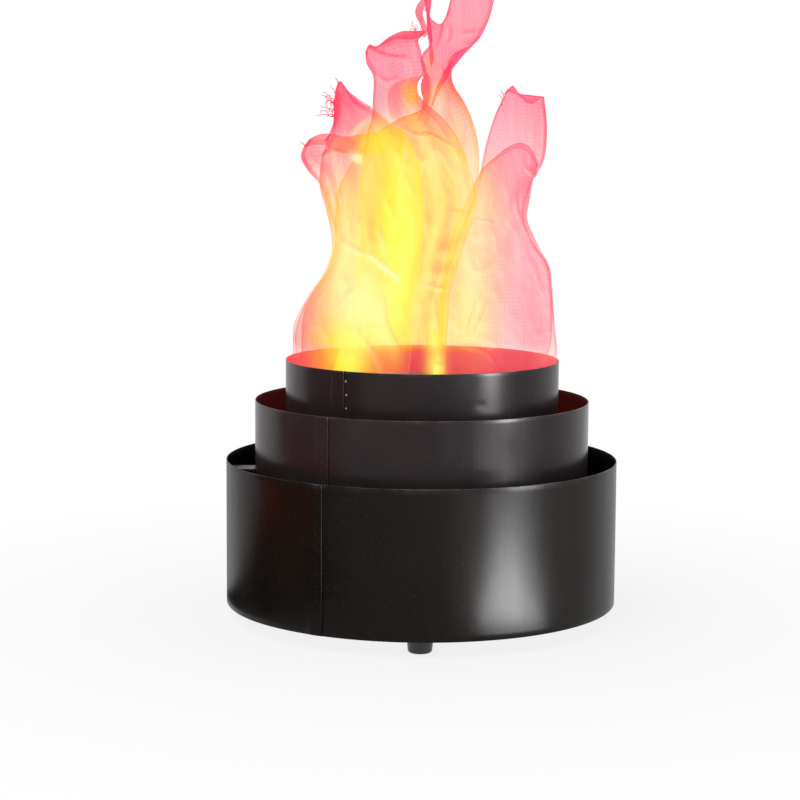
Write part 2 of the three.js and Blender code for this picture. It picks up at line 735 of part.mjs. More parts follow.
// Each tongue hangs between two side rails that start on its hem's arc. The rails and the top edge are lists of
// [x, y, z]: x and y in shares of the flame's half width, z in shares of its height above the hem.
const tongues = [
  {
    name: 'silk_left',
    hemAngles: [172, 262],
    hemRadius: outerHemRadius,
    folds: 3.5,
    leftShares: [
      [-0.99, 0.08, 0.12], [-0.98, 0.05, 0.173], [-0.93, 0.03, 0.206],
      [-0.85, 0, 0.244], [-0.74, -0.03, 0.288], [-0.69, -0.06, 0.338], [-0.7, -0.08, 0.382],
      [-0.74, -0.1, 0.432], [-0.78, -0.12, 0.479], [-0.77, -0.13, 0.525], [-0.72, -0.15, 0.575],
    ],
    topShares: [
      [-0.72, -0.15, 0.575], [-0.67, -0.16, 0.625], [-0.67, -0.17, 0.663], [-0.63, -0.17, 0.699],
      [-0.57, -0.19, 0.68], [-0.5, -0.23, 0.66], [-0.41, -0.29, 0.641],
    ],
    rightShares: [
      [-0.09, -0.89, 0.12], [-0.09, -0.81, 0.181], [-0.11, -0.73, 0.244],
      [-0.17, -0.66, 0.305], [-0.25, -0.6, 0.388], [-0.32, -0.52, 0.47], [-0.37, -0.42, 0.553],
      [-0.41, -0.29, 0.641],
    ],
  },
  {
    name: 'silk_front',
    hemAngles: [222, 300],
    hemRadius: innerHemRadius,
    folds: 3,
    leftShares: [
      [-0.66, -0.6, 0.085], [-0.58, -0.52, 0.167], [-0.52, -0.43, 0.25], [-0.48, -0.37, 0.333],
      [-0.46, -0.32, 0.415], [-0.47, -0.29, 0.484], [-0.46, -0.26, 0.531], [-0.43, -0.21, 0.58],
      [-0.39, -0.21, 0.625], [-0.38, -0.21, 0.669], [-0.38, -0.21, 0.71], [-0.43, -0.21, 0.737],
      [-0.44, -0.21, 0.76],
    ],
    topShares: [
      [-0.44, -0.21, 0.76], [-0.41, -0.21, 0.776], [-0.36, -0.2, 0.773], [-0.31, -0.19, 0.782],
      [-0.25, -0.19, 0.795], [-0.18, -0.18, 0.804], [-0.12, -0.17, 0.806], [-0.02, -0.16, 0.801],
    ],
    rightShares: [
      [0.45, -0.77, 0.085], [0.4, -0.68, 0.167], [0.37, -0.58, 0.25], [0.33, -0.48, 0.333],
      [0.27, -0.41, 0.415], [0.19, -0.37, 0.498], [0.08, -0.32, 0.58], [-0.01, -0.27, 0.649],
      [-0.05, -0.23, 0.704], [-0.03, -0.19, 0.76], [-0.02, -0.16, 0.801],
    ],
  },
  {
    name: 'silk_right',
    hemAngles: [268, 368],
    hemRadius: outerHemRadius,
    folds: 3.5,
    leftShares: [
      [0.02, -0.89, 0.12], [0.08, -0.83, 0.195], [0.13, -0.75, 0.277],
      [0.21, -0.67, 0.36], [0.31, -0.58, 0.443], [0.39, -0.46, 0.503], [0.45, -0.38, 0.578],
      [0.53, -0.33, 0.636], [0.61, -0.29, 0.682],
    ],
    topShares: [
      [0.61, -0.29, 0.682], [0.65, -0.27, 0.692], [0.7, -0.25, 0.677], [0.79, -0.21, 0.673],
      [0.89, -0.15, 0.67],
    ],
    rightShares: [
      [1, 0.08, 0.115], [1, 0.06, 0.162], [0.99, 0.04, 0.211],
      [0.98, 0.02, 0.266], [0.96, 0, 0.308], [0.88, -0.03, 0.341], [0.8, -0.06, 0.385],
      [0.76, -0.08, 0.415], [0.79, -0.09, 0.445], [0.82, -0.1, 0.501], [0.89, -0.12, 0.542],
      [0.9, -0.13, 0.605], [0.89, -0.15, 0.67],
    ],
  },
  {
    name: 'silk_tall',
    hemAngles: [160, 78],
    hemRadius: outerHemRadius,
    folds: 3,
    leftShares: [
      [-0.91, 0.34, 0.085], [-0.85, 0.38, 0.181], [-0.76, 0.39, 0.255], [-0.65, 0.38, 0.333],
      [-0.6, 0.35, 0.415], [-0.54, 0.31, 0.498], [-0.42, 0.25, 0.575], [-0.23, 0.17, 0.63],
      [-0.08, 0.12, 0.674], [-0.03, 0.09, 0.713], [-0.01, 0.07, 0.76], [0.01, 0.06, 0.801],
      [-0.03, 0.06, 0.834], [-0.09, 0.07, 0.872], [-0.1, 0.08, 0.911], [-0.06, 0.09, 0.944],
    ],
    topShares: [
      [-0.06, 0.09, 0.944], [0, 0.09, 0.911], [0.05, 0.08, 0.867], [0.11, 0.08, 0.828],
      [0.16, 0.09, 0.867], [0.23, 0.1, 0.917], [0.33, 0.11, 0.966], [0.42, 0.12, 0.999],
    ],
    rightShares: [
      [0.17, 0.93, 0.085], [0.17, 0.86, 0.167], [0.19, 0.77, 0.255], [0.24, 0.67, 0.313],
      [0.3, 0.58, 0.368], [0.36, 0.46, 0.41], [0.39, 0.37, 0.448], [0.42, 0.25, 0.503],
      [0.41, 0.14, 0.569], [0.33, 0.1, 0.636], [0.26, 0.08, 0.671], [0.2, 0.06, 0.707],
      [0.19, 0.05, 0.737], [0.22, 0.05, 0.76], [0.28, 0.06, 0.776], [0.37, 0.08, 0.79],
      [0.45, 0.09, 0.826], [0.51, 0.1, 0.861], [0.53, 0.11, 0.911], [0.48, 0.12, 0.966],
      [0.42, 0.12, 0.999],
    ],
  },
  {
    name: 'silk_back_right',
    hemAngles: [84, -8],
    hemRadius: innerHemRadius,
    folds: 3.5,
    leftShares: [
      [0.11, 0.88, 0.085], [0.13, 0.77, 0.181], [0.16, 0.65, 0.264], [0.21, 0.52, 0.346],
      [0.29, 0.38, 0.415], [0.38, 0.25, 0.476], [0.44, 0.13, 0.514],
    ],
    topShares: [
      [0.44, 0.13, 0.514], [0.55, 0.12, 0.553], [0.68, 0.11, 0.572], [0.79, 0.11, 0.556],
      [0.87, 0.12, 0.525],
    ],
    rightShares: [
      [0.92, -0.1, 0.085], [0.95, -0.06, 0.153], [0.93, -0.02, 0.209], [0.9, 0.02, 0.255],
      [0.85, 0.06, 0.305], [0.77, 0.1, 0.36], [0.73, 0.12, 0.415], [0.76, 0.12, 0.47],
      [0.87, 0.12, 0.525],
    ],
  },
  {
    name: 'silk_back_left',
    hemAngles: [188, 118],
    hemRadius: innerHemRadius,
    folds: 3,
    leftShares: [
      [-0.92, -0.1, 0.085], [-0.92, -0.07, 0.153], [-0.88, -0.04, 0.203], [-0.78, 0, 0.25],
      [-0.69, 0.03, 0.299], [-0.65, 0.05, 0.346], [-0.66, 0.07, 0.393], [-0.72, 0.08, 0.443],
      [-0.79, 0.08, 0.479], [-0.88, 0.08, 0.509], [-0.93, 0.08, 0.536], [-0.91, 0.08, 0.558],
      [-0.87, 0.08, 0.575],
    ],
    topShares: [
      [-0.87, 0.08, 0.575], [-0.79, 0.09, 0.586], [-0.69, 0.1, 0.589], [-0.6, 0.12, 0.58],
      [-0.52, 0.15, 0.564],
    ],
    rightShares: [
      [-0.42, 0.78, 0.085], [-0.37, 0.67, 0.181], [-0.35, 0.56, 0.264], [-0.33, 0.44, 0.346],
      [-0.36, 0.35, 0.415], [-0.4, 0.27, 0.484], [-0.46, 0.19, 0.531], [-0.52, 0.15, 0.564],
    ],
  },
];

function flamePoint([xShare, yShare, zShare]) {
  return new THREE.Vector3(xShare * flameHalfWidth, yShare * flameHalfWidth, hemLevel + zShare * flameHeight);
}

function smoothCurve(points) {
  return new THREE.CatmullRomCurve3(points, false, 'centripetal');
}

// The blown-up surface of a tongue without its folds: rails joined across, plus what the hem's arc and the top
// edge add to that, the arc fading out upwards and the top edge's teeth only near the top
function tongueSurface(tongue) {
  const [from, to] = tongue.hemAngles;
  const hemPoint = (across) => polar(tongue.hemRadius, from + (to - from) * across, hemLevel);
  const clampPoint = (across) => hemPoint(across).setZ(hemLevel + upstandHeight);
  const left = smoothCurve([hemPoint(0), clampPoint(0), ...tongue.leftShares.map(flamePoint)]);
  const right = smoothCurve([hemPoint(1), clampPoint(1), ...tongue.rightShares.map(flamePoint)]);
  const held = upstandHeight / flameHeight;
  const top = smoothCurve(tongue.topShares.map(flamePoint));
  const outward = polar(1, (from + to) / 2, 0);
  return (across, up) => {
    const point = left.getPointAt(up).lerp(right.getPointAt(up), across);
    const hemPull = hemPoint(across).sub(hemPoint(0).lerp(hemPoint(1), across));
    const topPull = top.getPointAt(across).sub(top.getPointAt(0).lerp(top.getPointAt(1), across));
    const free = Math.max(0, up - held) / (1 - held);
    point.addScaledVector(hemPull, 1 - free ** hemReleasePower).addScaledVector(topPull, up ** topEdgePower);
    if (tongue.hemRadius === innerHemRadius) return point;
    const billow = silkBillow * Math.sin(Math.PI * free) * Math.sin(Math.PI * across);
    return point.addScaledVector(outward, billow);
  };
}

// A tongue of silk: the surface pleated along its height and given its two faces
function tongueGeometry(tongue) {
  const surface = tongueSurface(tongue);
  const step = 1 / (4 * silkRows);
  const faceNormal = (across, up) => {
    const sideways = surface(Math.min(1, across + step), up).sub(surface(Math.max(0, across - step), up));
    const upwards = surface(across, Math.min(1, up + step)).sub(surface(across, Math.max(0, up - step)));
    return sideways.cross(upwards).normalize();
  };
  const sides = [[], []];
  for (let row = 0; row <= silkRows; row += 1) {
    for (let column = 0; column <= silkColumns; column += 1) {
      const across = column / silkColumns;
      const up = row / silkRows;
      const normal = faceNormal(across, up);
      const wave = Math.cos(2 * Math.PI * (tongue.folds * across + foldDriftShare * Math.sin(2 * Math.PI * up)));
      const pleat = foldDepth * up ** foldRisePower * (1 - up / 2) * Math.sin(Math.PI * across) * wave;
      const middle = surface(across, up).addScaledVector(normal, pleat);
      sides[0].push(...middle.clone().addScaledVector(normal, silkThickness / 2));
      sides[1].push(...middle.clone().addScaledVector(normal, -silkThickness / 2));
    }
  }
  return sheetGeometry(sides, silkColumns, silkRows);
}

// Two grids of points joined along their four edges into one closed sheet
function sheetGeometry(sides, columns, rows) {
  const width = columns + 1;
  const other = width * (rows + 1);
  const faces = [];
  const quad = (a, b, c, d) => faces.push(a, b, c, a, c, d);
  for (let row = 0; row < rows; row += 1) {
    for (let column = 0; column < columns; column += 1) {
      const a = row * width + column;
      quad(a, a + 1, a + 1 + width, a + width);
      quad(other + a, other + a + width, other + a + 1 + width, other + a + 1);
    }
  }
  for (let column = 0; column < columns; column += 1) {
    const top = rows * width + column;
    quad(column, other + column, other + column + 1, column + 1);
    quad(top, top + 1, other + top + 1, other + top);
  }
  for (let row = 0; row < rows; row += 1) {
    const low = row * width;
    const high = low + columns;
    quad(low, low + width, other + low + width, other + low);
    quad(high, other + high, other + high + width, high + width);
  }
  const geometry = new THREE.BufferGeometry();
  geometry.setAttribute('position', new THREE.Float32BufferAttribute(sides.flat(), 3));
  geometry.setIndex(faces);
  return geometry;
}

function makeSilk() {
  for (const tongue of tongues) place(tongue.name, tongueGeometry(tongue), pinkSilk);
}

function makeElectrics() {
  const driver = facing(driverAngle);
  const low = plateTop + seatGap;
  const high = low + driverHeight;
  place('driver_case', block(driverWidth, driverLength, driverHeight, driverCircleRadius, 0, (low + high) / 2),
    castMetal, driver);
  const lidWidth = driverWidth + 2 * (seatGap + driverLidWall);
  const lidLength = driverLength + 2 * (seatGap + driverLidWall);
  const lidLow = high - driverLidLip;
  const lidHigh = high + seatGap + driverLidWall;
  const lid = shaped(
    block(lidWidth, lidLength, lidHigh - lidLow, driverCircleRadius, 0, (lidLow + lidHigh) / 2),
    [],
    [block(driverWidth + 2 * seatGap, driverLength + 2 * seatGap, high + seatGap - lidLow + overrun,
      driverCircleRadius, 0, (high + seatGap + lidLow - overrun) / 2)],
  );
  place('driver_lid', lid, zincSteel, driver);
  const profile = new THREE.Shape([
    new THREE.Vector2(-terminalWidth / 2, 0),
    new THREE.Vector2(terminalWidth / 2, 0),
    new THREE.Vector2(terminalWidth / 2, terminalHeight - terminalStep),
    new THREE.Vector2(terminalSlot / 2, terminalHeight - terminalStep),
    new THREE.Vector2(terminalSlot / 2, terminalHeight),
    new THREE.Vector2(-terminalSlot / 2, terminalHeight),
    new THREE.Vector2(-terminalSlot / 2, terminalHeight - terminalStep),
    new THREE.Vector2(-terminalWidth / 2, terminalHeight - terminalStep),
  ]);
  const terminal = new THREE.ExtrudeGeometry(profile, { depth: terminalLength, bevelEnabled: false });
  terminal.translate(0, 0, -terminalLength / 2).rotateX(Math.PI / 2).translate(terminalCircleRadius, 0, low);
  place('terminal_block', terminal, whiteTerminal, facing(terminalAngle));
}

// The inlet, built facing +X: flange outside the wall, body through it, a recess with three flat pins
function makeInlet() {
  const back = drumRadius + seatGap;
  const front = back + flangeWall;
  const bodyBack = front - inletBodyDepth;
  const recess = new THREE.Shape();
  const halfWidth = inletBodyWidth / 2 - inletWall;
  const halfHeight = inletBodyHeight / 2 - inletWall;
  recess.moveTo(-halfWidth, -halfHeight);
  recess.lineTo(halfWidth, -halfHeight);
  recess.lineTo(halfWidth, halfHeight - inletCorner);
  recess.lineTo(halfWidth - inletCorner, halfHeight);
  recess.lineTo(-halfWidth + inletCorner, halfHeight);
  recess.lineTo(-halfWidth, halfHeight - inletCorner);
  const pocket = new THREE.ExtrudeGeometry(recess, { depth: inletRecessDepth + overrun, bevelEnabled: false });
  pocket.rotateX(Math.PI / 2).rotateZ(Math.PI / 2).translate(front - inletRecessDepth, 0, inletLevel);
  const bodyMiddle = (bodyBack + back) / 2;
  const body = shaped(
    block(flangeWall, inletFlangeWidth, inletFlangeHeight, (back + front) / 2, 0, inletLevel),
    [block(back - bodyBack + flangeWall / 2, inletBodyWidth, inletBodyHeight,
      bodyMiddle + flangeWall / 4, 0, inletLevel)],
    [pocket],
  );
  const floor = front - inletRecessDepth;
  const pins = [[-pinSpacing, -pinDrop / 2], [0, pinDrop / 2], [pinSpacing, -pinDrop / 2]].map(([side, rise]) => (
    block(pinReach + inletWall, pinThickness, pinWidth, floor + (pinReach - inletWall) / 2, side, inletLevel + rise)
  ));
  place('power_inlet', shaped(body, pins, []), blackPlastic, facing(inletAngle));
}

// The switch, built facing +X: the rocker turns about a level pivot in the pocket of its body
function makeSwitch() {
  const back = drumRadius + seatGap;
  const front = back + flangeWall;
  const bodyBack = front - switchBodyDepth;
  const pivotDepth = front - flangeWall - pivotSinkBelowFlange;
  const pocketFloor = pivotDepth - rockerPocketDepth;
  const group = facing(switchAngle);
  const pivotHalf = rockerWidth / 2 + pivotReach;
  const socket = rod(pivotRadius + pivotClearance, -pivotHalf - pivotClearance, pivotHalf + pivotClearance, 10);
  socket.rotateX(Math.PI / 2).translate(pivotDepth, 0, inletLevel);
  const body = shaped(
    block(flangeWall, switchFlangeWidth, switchFlangeHeight, (back + front) / 2, 0, inletLevel),
    [block(back - bodyBack + flangeWall / 2, switchBodyWidth, switchBodyHeight,
      (bodyBack + back) / 2 + flangeWall / 4, 0, inletLevel)],
    [block(front - pocketFloor + overrun, rockerPocketWidth, rockerPocketHeight,
      (front + pocketFloor + overrun) / 2, 0, inletLevel), socket],
  );
  place('switch_body', body, blackPlastic, group);
  const half = rockerHeight / 2;
  const outline = new THREE.Shape([
    new THREE.Vector2(rockerEndRise, half),
    new THREE.Vector2(rockerValleyRise, 0),
    new THREE.Vector2(rockerEndRise, -half),
    new THREE.Vector2(-rockerSkirt, -half),
    new THREE.Vector2(-rockerBelly, -rockerBellyHalf),
    new THREE.Vector2(-rockerBelly, rockerBellyHalf),
    new THREE.Vector2(-rockerSkirt, half),
  ]);
  const bar = new THREE.ExtrudeGeometry(outline, { depth: rockerWidth, bevelEnabled: false });
  bar.translate(0, 0, -rockerWidth / 2).rotateX(Math.PI / 2);
  const pivot = rod(pivotRadius, -pivotHalf, pivotHalf, 10).rotateX(Math.PI / 2);
  const rocker = place('switch_rocker', shaped(bar, [pivot], []), blackPlastic, group);
  rocker.position.set(pivotDepth, 0, inletLevel);
  rocker.rotation.y = degrees(rockerTilt);
}

// A lead along hand-laid points, a plain tube of constant section
function lead(points) {
  const section = new THREE.Shape(Array.from({ length: leadSides }, (_, corner) => {
    const turn = 2 * Math.PI * corner / leadSides;
    return new THREE.Vector2(leadRadius * Math.cos(turn), leadRadius * Math.sin(turn));
  }));
  const path = smoothCurve(points);
  const steps = Math.ceil(path.getLength() / (5 * leadRadius));
  return new THREE.ExtrudeGeometry(section, { steps, extrudePath: path, bevelEnabled: false });
}

function makeLeads() {
  const inletBack = drumRadius + flangeWall - inletBodyDepth - seatGap;
  const switchBack = drumRadius + flangeWall - switchBodyDepth - seatGap;
  const floorLevel = plateTop + 2 * leadRadius;
  const terminalLevel = plateTop + seatGap + terminalHeight / 2;
  const driverLevel = plateTop + driverHeight / 2;
  const terminalEnd = (distance, offset) => (
    polar(terminalCircleRadius + offset, terminalAngle, terminalLevel).add(polar(distance, terminalAngle - 90, 0))
  );
  const driverEnd = (distance, level) => (
    polar(driverCircleRadius, driverAngle, level).add(polar(distance, driverAngle + 90, 0))
  );
  const terminalReach = terminalLength / 2 + seatGap;
  const driverReach = driverLength / 2 + 2 * seatGap + driverLidWall;
  const turn = 4 * leadRadius;
  place('mains_lead', lead([
    polar(inletBack, inletAngle, inletLevel),
    polar(inletBack - leadRadius, inletAngle, inletLevel),
    polar(inletBack - turn, inletAngle + 2, inletLevel - turn),
    polar(inletBack - turn, inletAngle + 5, terminalLevel + leadRadius),
    terminalEnd(terminalReach + turn, 0),
    terminalEnd(terminalReach, 0),
  ]), leadSheath);
  place('switch_lead', lead([
    polar(switchBack, switchAngle, inletLevel),
    polar(switchBack - leadRadius, switchAngle, inletLevel),
    polar(switchBack - turn, switchAngle, inletLevel - turn),
    polar(terminalCircleRadius, switchAngle + 6, terminalLevel),
    polar(terminalCircleRadius - leadSpacing, inletAngle + 10, terminalLevel),
    terminalEnd(terminalReach + turn, -leadSpacing),
    terminalEnd(terminalReach, -leadSpacing),
  ]), leadSheath);
  place('driver_lead', lead([
    terminalEnd(terminalReach, leadSpacing),
    terminalEnd(terminalReach + leadRadius, leadSpacing),
    terminalEnd(terminalReach + turn, leadSpacing + leadRadius),
    polar(plateRadius - turn, inletAngle + 10, floorLevel),
    polar(plateRadius - turn, inletAngle - 10, floorLevel),
    polar(plateRadius - turn, (inletAngle + driverAngle) / 2, floorLevel),
    driverEnd(driverReach + turn, driverLevel),
    driverEnd(driverReach, driverLevel),
  ]), leadSheath);
  place('motor_lead', lead([
    terminalEnd(-terminalReach, 0),
    terminalEnd(-terminalReach - leadRadius, 0),
    polar((terminalCircleRadius + fanRadius) / 2, terminalAngle + 15, fanFloor - turn),
    polar(fanRadius + turn, terminalAngle + 17, fanFloor + lugHeight),
    polar(fanRadius + leadRadius, terminalAngle + 17, fanFloor + turn),
    polar(fanRadius + seatGap, terminalAngle + 17, fanFloor + turn),
  ]), leadSheath);
  const riser = (boardOuterRadius + deckRadius) / 2;
  place('lamp_lead', lead([
    driverEnd(-driverReach, driverLevel),
    driverEnd(-driverReach - turn / 2, driverLevel + leadRadius),
    polar(riser, 0, fanFloor),
    polar(riser, 0, deckLevel - turn),
    polar(riser, 0, deckTop),
    polar(riser - leadRadius, 0, deckTop + leadSpacing),
    polar(boardOuterRadius + turn / 2, 0, deckTop + leadSpacing),
    polar(boardOuterRadius + seatGap, 0, deckTop + leadRadius + seatGap),
  ]), leadSheath);
}

makeHousing();
makeTabs();
makeBasePlate();
makeFeet();
makeDeck();
makeLamps();
makeFanFrame();
makeRotor();
makeGuard();
makeCarrier();
makeSilk();
makeElectrics();
makeInlet();
makeSwitch();
makeLeads();

export default light;
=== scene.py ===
"""Silk flame effect light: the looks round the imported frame, in metres, with the front facing -Y."""

import math

import bmesh
import bpy
import numpy as np
from mathutils import Matrix, Vector


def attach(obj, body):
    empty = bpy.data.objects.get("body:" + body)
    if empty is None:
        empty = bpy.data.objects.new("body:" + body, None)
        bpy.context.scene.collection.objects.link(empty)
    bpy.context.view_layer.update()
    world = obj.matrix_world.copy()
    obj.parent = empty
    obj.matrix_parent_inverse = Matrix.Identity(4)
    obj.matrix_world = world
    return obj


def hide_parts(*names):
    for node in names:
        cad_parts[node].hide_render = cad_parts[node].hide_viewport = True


bl_info = {
    "name": "Silk Flame Light",
    "version": (1, 0, 0),
    "blender": (4, 5, 0),
    "location": "3D View > Sidebar > Flame Light",
    "description": "Builds the rings, silk, lamps and studio of a silk flame effect light",
    "category": "Object",
}

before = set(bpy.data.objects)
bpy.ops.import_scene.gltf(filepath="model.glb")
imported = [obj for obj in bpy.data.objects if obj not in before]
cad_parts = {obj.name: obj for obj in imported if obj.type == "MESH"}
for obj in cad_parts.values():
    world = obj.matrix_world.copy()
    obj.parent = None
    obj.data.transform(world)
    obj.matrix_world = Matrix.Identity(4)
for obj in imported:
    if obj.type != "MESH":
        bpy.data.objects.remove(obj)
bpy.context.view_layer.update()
BODY = "housing"

# The silk stands on the hem line of the carrier ring: flame shares times these lengths give metres
HEM_LEVEL = 0.1693
HOLD_HEIGHT = 0.015
FLAME_HALF_WIDTH = 0.104
FLAME_HEIGHT = 0.363
OUTER_HEM_RADIUS = 0.1010
INNER_HEM_RADIUS = 0.0972
FOLD_DEPTH = 0.0030
BILLOW = 0.004
# Where the top ring's rim crosses the back of the flame, in shares of its height
RIM_SHARE = 0.101
# Cells across a turned edge, least width that a turned edge is measured by, and its widest share of a tongue
TURN_CELLS = 6
LEAST_CHORD = 0.012
WIDEST_TURN = 0.6
CREASE_KNOTS = 25

